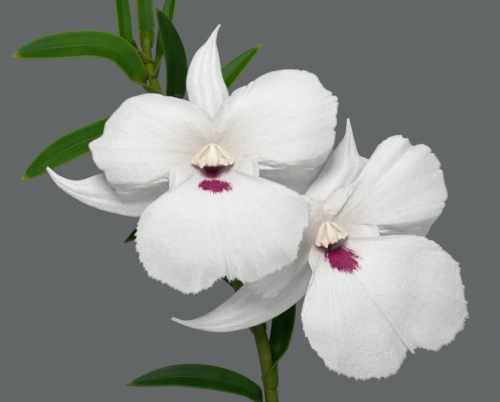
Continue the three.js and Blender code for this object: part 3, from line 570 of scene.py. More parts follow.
def petalPiece(flower, key, name, material, seed):
    shape, petal = petalShape, flower[key]
    columns = shape["columns"]
    u = np.linspace(0, 1, columns)
    v = np.linspace(0, 1, shape["rows"])[:, None]
    rim = curveAt(petal["rim"], u)
    root = lerp(np.array(petal["root"][0]), np.array(petal["root"][1]), u[:, None])
    notches = np.maximum(0, randomLine(seed, shape["notches"], columns) - shape["notchFrom"])
    lobes = randomLine(seed + 1, shape["lobes"], columns)
    ragged = shape["lobeHeight"] * lobes - shape["notchDepth"] * notches
    length = np.linalg.norm(rim - root, axis=1)
    stretch = 1 + (ragged / length)[None, :] * v ** 8
    x = lerp(root[:, 0], rim[:, 0], v * stretch)
    z = lerp(root[:, 1], rim[:, 1], v * stretch)
    ridge = np.array(petal["ridge"])
    below = np.maximum(0, np.interp(x, ridge[:, 0], ridge[:, 1]) - z)
    fold = petal["fold"] * smoothStep(np.hypot(x, z), *shape["foldReach"])
    inner = lerp(shape["innerHeight"], 1, smoothStep(u, 0, shape["innerReach"]))
    dome = np.sin(np.pi * v * shape["dome"])
    depth = inner * (-petal["bulge"] * dome + petal["back"] * v ** 4)
    depth = depth + petal["behind"] * (1 - smoothStep(u, 0, shape["tuckReach"]))
    depth = depth + fold * (np.hypot(below, 1) - 1)
    folded = smoothStep(below, 0, shape["crinkleStart"])
    fromCreases = np.hypot(x, z - shape["creaseHeight"]) / shape["creaseReach"]
    creased = np.exp(-fromCreases ** 2) * smoothStep(u, 0, shape["creaseStart"])
    crinkles = relief(shape["coarse"], x, z, seed) + relief(shape["small"], x, z, seed + 9)
    creases = creased * np.abs(relief(shape["crease"], x, z, seed + 7))
    broad = v ** 1.5 * relief(shape["broad"], x, z, seed + 5)
    pleats = randomLine(seed + 2, shape["pleats"], columns)[None, :]
    ripples = randomLine(seed + 3, shape["ripples"], columns)[None, :]
    depth = depth + folded * crinkles - creases + broad
    depth = depth + shape["pleatDepth"] * v * pleats + shape["rippleDepth"] * v ** 5 * ripples
    piece = gridPiece(name, flowerPoints(flower, x, z, depth), shape["uvSize"])
    thicken(piece, blades["thickness"], bladeMargin(shape["rows"], columns, sides=False))
    dress(piece, material, "petal", name)


lipShape = {
    "columns": 621, "rows": 61, "uvSize": (10, 3.5),  # cm
    "throatSpread": 1.2, "throatDrop": 0.3,  # radians to each side of the lip's axis, and mm
    "toothReach": (14, 20),  # mm of lip at which the rim turns from smooth to toothed
    "teeth": 190, "toothLength": 1.15, "toothBack": 0.55, "lobes": 40, "lobeHeight": 0.45,
    "plainLobe": 0.15, "toothFoot": 0.93,  # teeth begin at that share of the way to the rim
    "funnelDepth": 12.3, "funnelStart": 2.6, "funnelReach": 6.2,  # mm
    "curlFrom": 15, "curlReach": 21,  # mm from the column
    "grooveDepth": 0.7, "grooveWidth": 3.6, "grooveReach": (6, 11),  # mm
    "pleats": 80, "pleatDepth": 0.12, "pleatReach": 36,  # mm
    "frills": 46, "frillDepth": 0.9, "frillStart": 0.75,
    "broad": (1.1, 10, 10), "broadReach": (10, 34),  # mm
    "ears": (0.08, 0.93), "earWidth": 0.035, "earTurn": 1.0, "earStart": 0.8,
}


def lipPiece(flower, name, material, seed):
    shape, lip = lipShape, flower["lip"]
    columns = shape["columns"]
    u = np.linspace(0, 1, columns)
    share = np.linspace(0, 1, shape["rows"])[:, None] ** 1.15
    rim = curveAt(lip["rim"], u)
    angle = math.radians(lip["axis"]) + lerp(-shape["throatSpread"], shape["throatSpread"], u)
    root = np.stack([blades["throatRadius"] * np.cos(angle),
                     blades["throatRadius"] * np.sin(angle) - shape["throatDrop"]], axis=-1)
    length = np.linalg.norm(rim - root, axis=1)
    toothed = smoothStep(length, *shape["toothReach"])
    rng = np.random.default_rng(seed)
    teeth = np.abs(randomLine(seed, shape["teeth"], columns)) ** 0.7
    teeth = teeth * lerp(0.5, 1.3, rng.random(columns))
    lobes = randomLine(seed + 1, shape["lobes"], columns)
    ragged = shape["toothLength"] * teeth - shape["toothBack"] + shape["lobeHeight"] * lobes
    ragged = toothed * ragged + shape["plainLobe"] * (1 - toothed) * lobes
    stretch = 1 + (ragged / length)[None, :] * smoothStep(share, shape["toothFoot"], 1.0)
    x = lerp(root[:, 0], rim[:, 0], share * stretch)
    z = lerp(root[:, 1], rim[:, 1], share * stretch)
    radius = np.hypot(x, z)
    sideways = x * lip["groove"][1] - z * lip["groove"][0]
    funnel = 1 - np.exp((shape["funnelStart"] - radius) / shape["funnelReach"])
    depth = -shape["funnelDepth"] * funnel
    curled = np.maximum(0, radius - shape["curlFrom"]) / shape["curlReach"]
    depth = depth + lip["curl"] * curled ** 2
    grooved = np.exp(-(sideways / shape["grooveWidth"]) ** 2)
    depth = depth + shape["grooveDepth"] * smoothStep(radius, *shape["grooveReach"]) * grooved
    pleats = randomLine(seed + 2, shape["pleats"], columns)[None, :]
    depth = depth + shape["pleatDepth"] * (radius / shape["pleatReach"]) ** 1.2 * pleats
    frills = randomLine(seed + 3, shape["frills"], columns)[None, :] * toothed
    depth = depth + shape["frillDepth"] * smoothStep(share, shape["frillStart"], 1.0) * frills
    depth = depth + smoothStep(radius, *shape["broadReach"]) * relief(shape["broad"], x, z, seed)
    ears = sum(np.exp(-((u - ear) / shape["earWidth"]) ** 2) for ear in shape["ears"])
    # the ears' rims turn forward
    depth = depth - shape["earTurn"] * smoothStep(share, shape["earStart"], 1.0) * ears[None, :]
    piece = gridPiece(name, flowerPoints(flower, x, z, depth), shape["uvSize"])
    thicken(piece, blades["thickness"], bladeMargin(shape["rows"], columns, sides=False))
    dress(piece, material, "lip", name)


# depths run back from the column's middle, so those in front of it are negative
column = {
    "sides": 72,
    "foot": 3.1, "footDrop": -0.62,  # mm radius of the round foot, and how low it sits
    "middle": (0, 0.3), "leanFrom": 2.6, "rollFrom": 1.3, "rollReach": 4.3,  # mm
    # front outlines from the middle: the wide wings, and the hood between them with its two teeth
    "wings": [[0, 4.0], [2.6, 2.9], [4.4, 1.2], [6.1, -0.7], [5.6, -1.7], [3.6, -2.1], [0, -2.4],
              [-3.6, -2.1], [-5.6, -1.7], [-6.1, -0.7], [-4.4, 1.2], [-2.6, 2.9]],
    "hood": [[0, 3.9], [1.8, 2.7], [3.2, 0.7], [4.5, -0.6], [4.1, -2.4], [2.9, -1.9], [0.3, -2.3],
             [-2.0, -2.0], [-3.1, -3.1], [-4.0, -1.7], [-4.6, -0.7], [-3.4, 0.8], [-2.0, 2.6]],
    # depth, share of the way from foot to wings, size: up the foot and out to the wings
    "footRings": [(-1.15, 0, 0.02), (-1.15, 0, 0.7), (-1.25, 0, 0.97), (-2.6, 0, 1), (-4.0, 0.3, 1),
                  (-5.6, 0.8, 1), (-7.0, 1, 1), (-7.35, 1, 0.99), (-7.35, 1, 0.93)],
    # depth and size: in to the hood and back into its mouth
    "hoodRings": [(-6.9, 0.97), (-7.4, 0.96), (-8.6, 1), (-9.0, 0.98), (-9.0, 0.9), (-8.3, 0.8),
                  (-7.9, 0.4), (-7.9, 0.02)],
}


def rolled(flower, x, z, depth):  # the column's front turns about its own axis, its foot doesn't
    share = min(1, max(0, -depth - column["rollFrom"]) / column["rollReach"])
    angle = math.radians(flower["roll"]) * share
    return x * math.cos(angle) - z * math.sin(angle), x * math.sin(angle) + z * math.cos(angle)


def outlineLoop(points, count):  # a closed outline through the points, from the top and back to it
    ring = np.array(points + points[:1], float)
    padded = np.vstack([ring[-2], ring, ring[1]])
    step = 1 / (len(padded) - 1)
    return curveAt(padded, lerp(step, 1 - step, np.linspace(0, 1, count)))


def columnPiece(flower, name, material):
    sides = column["sides"]
    turn = np.linspace(0, 2 * np.pi, sides)
    foot = column["foot"] * np.stack([np.sin(turn), np.cos(turn)], axis=-1)
    foot = foot + [0, column["footDrop"]]
    wings, hood = (outlineLoop(column[key], sides) for key in ("wings", "hood"))
    middle = np.array(column["middle"])
    rings = [(depth, lerp(foot, wings, share), size) for depth, share, size in column["footRings"]]
    rings += [(depth, hood, size) for depth, size in column["hoodRings"]]
    rows = []
    for depth, outline, size in rings:
        ring = middle + (outline - middle) * size
        lean = flower["lean"] * max(0, -depth - column["leanFrom"])
        x, z = rolled(flower, ring[:, 0] * flower["columnShare"], ring[:, 1], depth)
        rows.append(flowerPoints(flower, x + lean, z, np.full(len(ring), depth)))
    piece = gridPiece(name, np.array(rows))
    closeSeams(piece, 0.08 * mm)
    applyModifier(piece, "SUBSURF", {"levels": 1, "render_levels": 1})
    smooth(piece)
    dress(piece, material, "column", name)


cap = {
    "around": 65, "along": 21,
    "halfWidth": 2.1, "top": 3.6, "bottom": -2.5, "back": -8.75, "proud": 1.6,  # mm
    "topShare": 0.48,  # how much of its width is left at the top
    "sideSquare": 0.75, "topSquare": 0.8,  # powers under 1 make it squarer than an oval
    "taperFrom": -2.2, "fringeDepth": 0.16, "fringes": 11, "fringeReach": (1.6, 2.4),
    "creaseDepth": 0.3, "creaseWidth": 0.2,
}


def capPiece(flower, name, material):
    turn = np.linspace(0, 2 * np.pi, cap["around"])
    sideways = np.sign(np.cos(turn)) * np.abs(np.cos(turn)) ** cap["sideSquare"]
    upward = np.sign(np.sin(turn)) * np.abs(np.sin(turn)) ** cap["topSquare"]
    rows = []
    for level in np.linspace(0, 1, cap["along"]):
        rise = level * np.pi
        size = np.sin(rise) ** 0.6
        depth = cap["back"] - cap["proud"] * (1 - np.cos(rise)) / 2
        z = lerp(cap["bottom"], cap["top"], 0.5 + 0.5 * size * upward)
        taper = lerp(1.0, cap["topShare"], smoothStep(z, cap["taperFrom"], cap["top"]))
        fringe = smoothStep(-z, *cap["fringeReach"]) * size
        fringe = cap["fringeDepth"] * np.sin(turn * cap["fringes"]) * fringe
        crease = np.exp(-((sideways * size) / cap["creaseWidth"]) ** 2) * np.sin(rise)
        lean = flower["lean"] * (-depth - column["leanFrom"])
        x = cap["halfWidth"] * flower["columnShare"] * size * sideways * taper
        x, z = rolled(flower, x, z + fringe, depth)
        rows.append(flowerPoints(flower, x + lean, z, depth + cap["creaseDepth"] * crease * level))
    piece = gridPiece(name, np.array(rows))
    closeSeams(piece)
    smooth(piece)
    dress(piece, material, "column", name)


def barPoints(line, radiusAt, steps, sides):  # rings round a line, closed at both ends
    shares = np.linspace(0, 1, steps + 1)
    middle = curveAt(line, shares)
    tangent = curveAt(line, shares + 1e-3) - curveAt(line, shares - 1e-3)
    tangent /= np.linalg.norm(tangent, axis=1)[:, None]
    across = np.cross([0, 1, 0], tangent)
    across /= np.linalg.norm(across, axis=1)[:, None]
    up = np.cross(tangent, across)
    turn = np.linspace(0, 2 * np.pi, sides + 1)[None, :, None]
    radius = radiusAt(shares, middle[:, 2])
    offset = across[:, None, :] * np.cos(turn) + up[:, None, :] * np.sin(turn)
    rings = middle[:, None, :] + offset * radius[:, None, None]
    return np.concatenate([rings[:1] * 0 + middle[0], rings, rings[-1:] * 0 + middle[-1]])


stalk = {
    "radius": 1.1, "ovary": 2.0, "spurTip": 1.1, "receptacle": 3.0, "receptacleDepth": 2.2,  # mm
    "spur": [[0, 3.4, -1], [0, 5.2, -4], [0, 7.6, -8.4]],  # sideways, depth and height
    "steps": 40, "spurSteps": 20, "sides": 24, "voxel": 0.3,
}


def stalkPiece(flower, name, material):
    spurLine = [flowerPoints(flower, x, z, depth) for x, depth, z in stalk["spur"]]
    parts = []
    for partName, line, (start, end), steps in (
            (name, flower["stalk"], (stalk["radius"], stalk["ovary"]), stalk["steps"]),
            ("spur", spurLine, (stalk["ovary"], stalk["spurTip"]), stalk["spurSteps"])):
        part = gridPiece(partName, barPoints(
            line, lambda share, height: lerp(start, end, share * share), steps, stalk["sides"]))
        closeSeams(part)
        parts.append(part)
    bar, spur = parts
    deselectAll()
    middle = flowerPoints(flower, 0, 0, stalk["receptacleDepth"]) * mm
    bpy.ops.mesh.primitive_uv_sphere_add(
        segments=32, ring_count=16, radius=stalk["receptacle"] * mm, location=tuple(middle))
    makeActive(bar, spur, bpy.context.object)
    bpy.ops.object.join()
    applyModifier(bar, "REMESH", {"mode": "VOXEL", "voxel_size": stalk["voxel"] * mm})
    applyModifier(bar, "SMOOTH", {"factor": 0.5, "iterations": 3})
    smooth(bar)
    dress(bar, material, "petal", name)


for number, flower in enumerate(flowers, start=1):
    name = flower["name"]
    seed = 40 * number
    white = petalMaterial(f"petal tissue {number}", flower["centre"])
    lipWhite = lipMaterial(f"marked lip tissue {number}", flower)
    waxy = columnMaterial(f"column tissue {number}", flower["centre"])
    for key, sepalName in (("dorsal", "dorsal_sepal"), ("sepalLeft", "sepal_left"),
                           ("sepalRight", "sepal_right")):
        sepalPiece(flower, key, f"{name}_{sepalName}", white)
    petalPiece(flower, "petalLeft", f"{name}_petal_left", white, seed)
    petalPiece(flower, "petalRight", f"{name}_petal_right", white, seed + 10)
    lipPiece(flower, f"{name}_lip", lipWhite, seed + 20)
    columnPiece(flower, f"{name}_column", waxy)
    capPiece(flower, f"{name}_anther_cap", waxy)
    stalkPiece(flower, f"{name}_stalk", white)
    print(f"{name} made")


# leaves and canes

leafLook = {
    "blade": "#2A5A00", "bladeLight": "#386A00", "vein": "#1F4600", "edge": "#7C9230",
    "tip": "#A29A2C", "sheath": "#566C04",
    "papery": "#76612C",  # dry brown skin at the sheath's foot and rim
}
# the same leaf skin, darker all over: painted shade for the leaves that hang in shadow
shadedLeafLook = {
    "blade": "#103200", "bladeLight": "#1C4600", "vein": "#0E2A00", "edge": "#466418",
    "tip": "#66701C", "sheath": "#3E5206", "papery": "#5E4C24",
}
# where each band starts and ends on the leaf's UV map, and its strength at both
leafBands = {
    "X": {"midrib": (0.0, 0.03, 0.3, 0.0), "margin": (0.45, 0.5, 0.0, 0.75),
          "rim": (0.3, 0.44, 0.0, 1.0)},  # out from the middle
    "Y": {"tip": (0.94, 1.0, 0.0, 0.9), "sheath": (0.1, 0.22, 0.85, 0.0),
          "foot": (0.012, 0.03, 0.45, 0.0)},  # up from the sheath's foot
}
leafGrain = {"veins": (34, 1.2, 1), "patch": 9, "fleck": 1.8}  # veins to a leaf, and sizes in mm


# Leaf blade: waxy skin over parallel veins that run from sheath to tip, pale along the margin
def leafMaterial(name, look):
    material, places = startMaterial(name)
    parts = addNode(material, "SeparateXYZ", {0: places["UV"]})
    lines = addNode(material, "Mapping", {"Scale": leafGrain["veins"], "Vector": places["UV"]})
    veins = addNode(material, "TexNoise", {"Scale": 1.0, "Detail": 2.0, "Vector": lines})
    veinShare = addNode(material, "ValToRGB", {
        "stops": [(0.42, 0.0), (0.62, 0.45)], "Fac": veins})
    patches = addNode(material, "TexNoise", {
        "Scale": 1 / (leafGrain["patch"] * mm), "Detail": 3.0, "Vector": places["Object"]})
    patchShare = addNode(material, "ValToRGB", {
        "stops": [(0.4, 0.0), (0.66, 1.0)], "Fac": patches})
    fromMiddle = addNode(material, "Math", {
        "operation": "SUBTRACT", 0: parts.outputs["X"], 1: 0.5})
    offMiddle = addNode(material, "Math", {"operation": "ABSOLUTE", 0: fromMiddle})
    shares = {}
    for axis, bands in leafBands.items():
        for band, (start, end, first, last) in bands.items():
            shares[band] = addNode(material, "MapRange", {
                "From Min": start, "From Max": end, "To Min": first, "To Max": last,
                "Value": offMiddle if axis == "X" else parts.outputs[axis]})
    # dry, papery brown: a ring at the sheath's foot and flecks along its rim
    flecks = addNode(material, "TexNoise", {
        "Scale": 1 / (leafGrain["fleck"] * mm), "Detail": 3.0, "Vector": places["Object"]})
    fleckShare = addNode(material, "ValToRGB", {
        "stops": [(0.5, 0.0), (0.58, 0.8)], "Fac": flecks})
    rim = addNode(material, "Math", {
        "operation": "MULTIPLY", 0: shares["sheath"], 1: shares["rim"]})
    dry = addNode(material, "Math", {"operation": "MULTIPLY", 0: rim, 1: fleckShare})
    colour = look["blade"]
    for share, layer in (
            (patchShare, "bladeLight"), (veinShare, "vein"), (shares["midrib"], "edge"),
            (shares["margin"], "edge"), (shares["tip"], "tip"), (shares["sheath"], "sheath"),
            (shares["foot"], "papery"), (dry, "papery")):
        colour = addNode(material, "Mix", {
            "data_type": "RGBA", mixShare: share, mixFirst: colour, mixSecond: look[layer]})
    bump = addNode(material, "Bump", {"Strength": 0.35, "Distance": 0.15 * mm, "Height": veins})
    return finishMaterial(material, {
        "Roughness": 0.42, "Specular IOR Level": 0.12, "Subsurface Weight": 0.08,
        "Subsurface Scale": 1 * mm, "Subsurface Radius": (0.6, 1.0, 0.2),
        "Base Color": colour, "Normal": bump})


caneLook = {
    "skin": "#4C6206", "light": "#6A7E0A", "dark": "#34460A", "ring": "#5A5A1A", "foot": "#64522A",
    "paintedShade": "#26320A",  # painted shade: the skin darkens lower down, below the flowers
    "grooves": (22, 9, 1), "patch": 5,  # grooves round the cane, and mm
    # metres above the floor where it starts, and down to where it is full
    "paintedShadeFrom": (0.325, 0.27), "footFrom": (0.13, 0.085),
}


# Cane skin: a smooth green stem with fine grooves, a dull ring at each joint, brown at its foot,
# and painted shade lower down
def caneMaterial(name, joints):
    look = caneLook
    material, places = startMaterial(name)
    lines = addNode(material, "Mapping", {"Scale": look["grooves"], "Vector": places["UV"]})
    grooves = addNode(material, "TexNoise", {"Scale": 1.0, "Detail": 2.0, "Vector": lines})
    patches = addNode(material, "TexNoise", {
        "Scale": 1 / (look["patch"] * mm), "Detail": 3.0, "Vector": places["Object"]})
    patchShare = addNode(material, "ValToRGB", {
        "stops": [(0.38, 0.0), (0.62, 1.0)], "Fac": patches})
    parts = addNode(material, "SeparateXYZ", {0: places["Object"]})
    footShare, paintedShadeShare = (
        addNode(material, "MapRange", {
            "From Min": full, "From Max": start, "To Min": strength, "To Max": 0.0,
            "Value": parts.outputs["Z"]})
        for (start, full), strength in ((look["footFrom"], 0.8), (look["paintedShadeFrom"], 0.55)))
    around = addNode(material, "SeparateXYZ", {0: places["UV"]})
    counted = addNode(material, "Math", {
        "operation": "MULTIPLY", 0: around.outputs["Y"], 1: float(joints)})
    fromJoint = addNode(material, "Math", {"operation": "PINGPONG", 0: counted, 1: 0.5})
    ringShare = addNode(material, "MapRange", {
        "From Min": 0.02, "From Max": 0.05, "To Min": 0.8, "To Max": 0.0, "Value": fromJoint})
    colour = look["skin"]
    for share, layer in ((patchShare, "dark"), (grooves, "light"), (paintedShadeShare, "paintedShade"),
                         (footShare, "foot"), (ringShare, "ring")):
        colour = addNode(material, "Mix", {
            "data_type": "RGBA", mixShare: share, mixFirst: colour, mixSecond: look[layer]})
    bump = addNode(material, "Bump", {"Strength": 0.4, "Distance": 0.15 * mm, "Height": grooves})
    return finishMaterial(material, {
        "Roughness": 0.42, "Specular IOR Level": 0.15, "Subsurface Weight": 0.08,
        "Subsurface Scale": 1 * mm, "Subsurface Radius": (0.7, 1.0, 0.2),
        "Base Color": colour, "Normal": bump})


canes = {
    "foot": 46, "footRadius": 3.1, "tipRadius": 1.3, "swelling": 0.35,  # mm
    "tipLength": 2.6, "tipClosing": 0.97,  # how far the tip closes, like a bud
    "sides": 32, "stepsPerSpan": 30,
}
tallCane = {
    "name": "flowering_cane", "joints": 14,
    "line": [[9, 4, 46], [9, 4, 70], [9, 4, 96], [10.5, 3, 150], [9.5, 1, 205], [6.2, 0, 250],
             [1.8, 0, 272], [-8, 0, 292], [-19.6, 0, 318], [-26.3, 0, 337], [-29.2, 0, 347],
             [-29.4, 0, 353]],
    "leaves": [[226, 20, 46], [200, 196, 48], [172, 28, 50]],  # mouth, bearing in degrees, length
}
sideCanes = [
    {
        "name": "side_cane_left", "joints": 8,
        "line": [[-20, 9, 46], [-20, 9, 70], [-20, 9, 94], [-24, 11, 130], [-30, 13, 168],
                 [-36, 14, 203]],
        "leaves": [[200, 118, 38], [188, 205, 42], [172, 20, 46], [153, 190, 46]],
    },
    {
        "name": "side_cane_right", "joints": 8,
        "line": [[27, -13, 46], [27, -13, 70], [27, -13, 92], [31, -16, 118], [36, -19, 144],
                 [40, -21, 168]],
        "leaves": [[165, -52, 36], [154, 12, 40], [140, -160, 42], [124, -10, 44]],
    },
]

leafShape = {
    "thickness": 0.65, "edge": 0.45, "edgeReach": 0.25, "footEdge": 0.15, "footShare": 0.06,
    "columns": 21, "rows": 85, "bladeSteps": 14,
    "base": 0.5, "narrowest": 0.03,  # shares of the width
    "opens": 0.42, "full": 0.42,  # shares of the length
    "fold": 0.3, "midribDepth": 0.06, "midribWidth": 0.1,  # shares of half the width
    "wrap": 2.25, "slantMost": 2.4, "slantShare": 0.8,  # radians, mm, and share of the sheath
    # the sheath's rows: share of its length and mm from its mouth, then shares of its wrap,
    # mm proud of the cane, share of the rim's slant
    "sheathRows": [(-1, 0, 1, 0.02, 0), (-0.5, 0, 1, 0.2, 0.4), (0, 0, 1, 0.5, 1),
                   (0, 1, 0.74, 0.85, 1), (0, 2.2, 0.46, 1.5, 0.7)],
    # the lower leaves rise, arch over and droop a little: reach and rise as shares of their length
    "lowerCourse": [(0.22, 0.16), (0.48, 0.27), (0.76, 0.27), (1, 0.17)],
    "lowerWidth": 8, "lowerSheath": 8,
}
# the tall cane's other leaves: the sheath's mouth and side, the way the blade faces, its course;
# those marked dark get the leaf skin with painted shade
tallLeaves = [
    {
        "name": "leaf_top", "mouth": 352, "sheath": 2, "slant": -1.2, "wrap": 1.5,
        "side": [0, 1, 0], "face": [0.1, -1, 0.1], "width": 4.8, "base": 1.0,
        "course": [[-29.8, 3.6, 358], [-30.2, 4.4, 364], [-29.6, 5.4, 373]],
    },
    {
        "name": "leaf_upper_left", "mouth": 347.4, "sheath": 1.8,
        "side": [-1, -0.1, 0], "face": [0.5, -0.9, 0], "width": 4.6, "base": 0.8,
        "course": [[-35, -1.6, 351.4], [-36.2, -2, 359], [-37.2, -2.6, 366], [-39.4, -3.4, 374]],
    },
    {
        "name": "leaf_upper_right", "mouth": 343, "sheath": 1.8,
        "side": [0.9, 0.5, 0], "face": [-0.5, -0.9, 0], "width": 4.4,
        "course": [[-25.2, 5.2, 349], [-23.8, 8, 357], [-22.4, 9.6, 364], [-20, 11, 372]],
    },
    {
        "name": "leaf_long_left", "mouth": 338, "sheath": 3,
        "side": [-0.95, -0.3, 0], "face": [0.05, -0.93, 0.35], "width": 8.2, "full": 0.62,
        "course": [[-33, -2.6, 343.8], [-37.4, -4.4, 348.6], [-44, -5.8, 350.4], [-52, -7, 350],
                   [-60, -8, 348.9], [-67.5, -8.4, 347.1]],
    },
    {
        "name": "leaf_dark_right", "mouth": 331.6, "sheath": 3,
        "side": [0.98, -0.2, 0], "face": [0.3, -0.95, 0.1], "width": 6.4, "base": 0.8, "dark": True,
        "course": [[-21.4, -0.8, 337.4], [-21.2, -2, 345.6], [-23.4, -2.8, 354],
                   [-26.6, -3.2, 361.4]],
    },
    {
        "name": "leaf_low_left", "mouth": 327.2, "sheath": 3.4,
        "side": [-0.95, -0.3, 0], "face": [0.3, -0.9, 0.4], "width": 8, "full": 0.55,
        "course": [[-30.4, -2, 330], [-42, -2.6, 325.2], [-53.4, -3, 320.2], [-65.2, -3.2, 312]],
    },
    {
        "name": "leaf_behind_right", "mouth": 321, "sheath": 7,
        "side": [0.85, 0.5, 0], "face": [-0.3, -0.9, 0.4], "width": 6.8,
        "course": [[-16.4, 6.4, 330.6], [-9.2, 10.6, 338.6], [-3, 13, 345.4], [3.6, 14.4, 351.6]],
    },
    {
        "name": "leaf_hidden_left", "mouth": 298, "sheath": 8,
        "side": [-0.8, 0.6, 0], "face": [0.1, -0.6, 0.8], "width": 6.4, "dark": True,
        "course": [[-17.6, 5.6, 301.4], [-25.6, 8.4, 300.2], [-36, 9, 294.4]],
    },
    {
        "name": "leaf_hidden_back", "mouth": 277, "sheath": 8,
        "side": [-0.3, 0.95, 0], "face": [0.2, -0.8, 0.6], "width": 7, "dark": True,
        "course": [[-2.6, 6.6, 281.6], [-7, 12.4, 286], [-13.4, 18.6, 289]],
    },
    {
        "name": "leaf_below_right", "mouth": 259, "sheath": 6,
        "side": [0.95, 0.2, 0], "face": [-0.58, -0.81, 0.1], "width": 7.8, "base": 0.8,
        "dark": True,
        "course": [[8.4, 1.6, 263.6], [10, 2.6, 271], [10.6, 3.6, 280], [8.8, 4.6, 289]],
    },
    {
        "name": "leaf_below_left", "mouth": 247, "sheath": 7,
        "side": [-0.95, -0.2, 0], "face": [0.3, -0.85, 0.5], "width": 7.8, "dark": True,
        "course": [[1, -2, 251.6], [-7.6, -4.6, 255], [-21, -6.4, 256.4], [-35, -7, 254.2]],
    },
]


def unit(vector):
    vector = np.array(vector, float)
    return vector / np.linalg.norm(vector)


def caneRadius(cane, height):
    top = cane["line"][-1][2]
    share = np.clip((height - canes["foot"]) / (top - canes["foot"]), 0, 1)
    joint = np.maximum(0, np.cos(share * cane["joints"] * math.pi * 2)) ** 6
    radius = lerp(canes["footRadius"], canes["tipRadius"], share)
    return radius + canes["swelling"] * (1 - share) * joint


def caneAt(cane, height, samples=4000):  # its middle and its direction at a height
    line = curveAt(cane["line"], np.linspace(0, 1, samples))
    i = min(np.searchsorted(line[:, 2], height), len(line) - 2)
    tangent = unit(line[i + 1] - line[i])
    return line[i] + tangent * (height - line[i][2]) / tangent[2], tangent


def leafProfile(leaf, t):  # share of the width: the blade opens, stays full, then closes to its tip
    shape = leafShape
    base, full = leaf.get("base", shape["base"]), leaf.get("full", shape["full"])
    opening = base + (1 - base) * math.sin(min(t / shape["opens"], 1) * math.pi / 2)
    closing = max(0, 1 - max(0, (t - full) / (1 - full)) ** 2.1) ** 0.85
    return max(shape["narrowest"], opening * closing)


def leafPiece(cane, leaf, material):
    shape = leafShape
    columns = shape["columns"]
    edge = np.linspace(-1, 1, columns)
    wrap = leaf.get("wrap", shape["wrap"])
    slant = leaf.get("slant", min(shape["slantMost"], shape["slantShare"] * leaf["sheath"]))
    wanted = unit(leaf["side"])
    rows = []
    for length, above, wrapShare, proud, slantShare in shape["sheathRows"]:
        height = leaf["mouth"] + length * leaf["sheath"] + above
        point, tangent = caneAt(cane, height)
        radius = caneRadius(cane, height) + shape["thickness"] / 2 + proud
        out = unit(wanted - tangent * wanted.dot(tangent))
        around = np.cross(tangent, out)
        angle = wrap * wrapShare * edge[:, None]
        drop = slant * slantShare * np.abs(edge[:, None]) ** 1.5  # the rim is lower at the back
        ring = radius * (out * np.cos(angle) + around * np.sin(angle))
        rows.append(point + ring - tangent * drop)
    course = [rows[-1][columns // 2]] + leaf["course"]
    shares = evenShares(course, shape["bladeSteps"] + 1)
    middle = curveAt(course, shares)
    ahead, behind = curveAt(course, shares + 2e-3), curveAt(course, shares - 2e-3)
    face = unit(leaf["face"])
    midrib = np.exp(-(edge / shape["midribWidth"]) ** 2)
    fold = shape["fold"] * np.abs(edge) ** 1.4 - shape["midribDepth"] * midrib
    for i in range(1, shape["bladeSteps"] + 1):
        tangent = unit(ahead[i] - behind[i])
        across = unit(np.cross(face, tangent))
        up = unit(np.cross(tangent, across))
        half = leaf["width"] / 2 * leafProfile(leaf, i / shape["bladeSteps"])
        rows.append(middle[i] + half * (across * edge[:, None] + up * fold[:, None]))
    rows = np.array(rows)
    steps = np.linalg.norm(np.diff(rows[:, columns // 2], axis=0), axis=1)
    lengths = np.concatenate([[0], np.cumsum(steps)])
    even = np.interp(np.linspace(0, lengths[-1], shape["rows"]), lengths,
                     np.linspace(0, 1, len(rows)))
    points = np.stack([curveAt(rows[:, j], even) for j in range(columns)], axis=1)
    piece = gridPiece(leaf["name"], points)
    fromFoot = smoothStep(np.linspace(0, 1, shape["rows"]), 0, shape["footShare"])[:, None]
    fromEdge = smoothStep(1 - np.abs(edge), 0, shape["edgeReach"])[None, :]
    margin = lerp(shape["edge"], 1, fromEdge) * lerp(shape["footEdge"], 1, fromFoot)
    thicken(piece, shape["thickness"], margin)
    dress(piece, material, "leaf", leaf["name"])


def lowerLeaf(cane, rule, name):
    mouth, bearing, length = rule
    out = np.array([math.cos(math.radians(bearing)), math.sin(math.radians(bearing)), 0])
    point = caneAt(cane, mouth)[0]
    course = [list(point + out * reach * length + np.array([0, 0, rise * length]))
              for reach, rise in leafShape["lowerCourse"]]
    return {
        "name": name, "mouth": mouth, "sheath": leafShape["lowerSheath"],
        "width": leafShape["lowerWidth"], "side": list(out),
        "face": [-0.5 * out[0], -0.5 * out[1], 0.85], "course": course,
    }


def canePiece(cane):
    top, tipLength = cane["line"][-1][2], canes["tipLength"]

    def radiusAt(share, height):
        closing = np.clip((height - top + tipLength) / tipLength, 0, 1)
        return caneRadius(cane, height) * np.sqrt(1 - canes["tipClosing"] * closing ** 2)

    steps = canes["stepsPerSpan"] * (len(cane["line"]) - 1)
    piece = gridPiece(cane["name"], barPoints(cane["line"], radiusAt, steps, canes["sides"]))
    closeSeams(piece)
    smooth(piece, 50)
    dress(piece, caneMaterial(f"{cane['name']} skin", cane["joints"]), "cane", cane["name"])


def lowerLeaves(cane, stem):
    for i, rule in enumerate(cane["leaves"], start=1):
        leafPiece(cane, lowerLeaf(cane, rule, f"{stem}_{i}"), freshLeaf)


freshLeaf = leafMaterial("waxy leaf", leafLook)
# the second copy is darkened with painted shade, for the leaves in shadow
shadedLeaf = leafMaterial("waxy leaf with painted shade", shadedLeafLook)
canePiece(tallCane)
for leaf in tallLeaves:
    leafPiece(tallCane, leaf, shadedLeaf if leaf.get("dark") else freshLeaf)
lowerLeaves(tallCane, "leaf_lower")
for cane in sideCanes:
    canePiece(cane)
    lowerLeaves(cane, f"{cane['name']}_leaf")
print("canes and leaves made")


# pot and bark

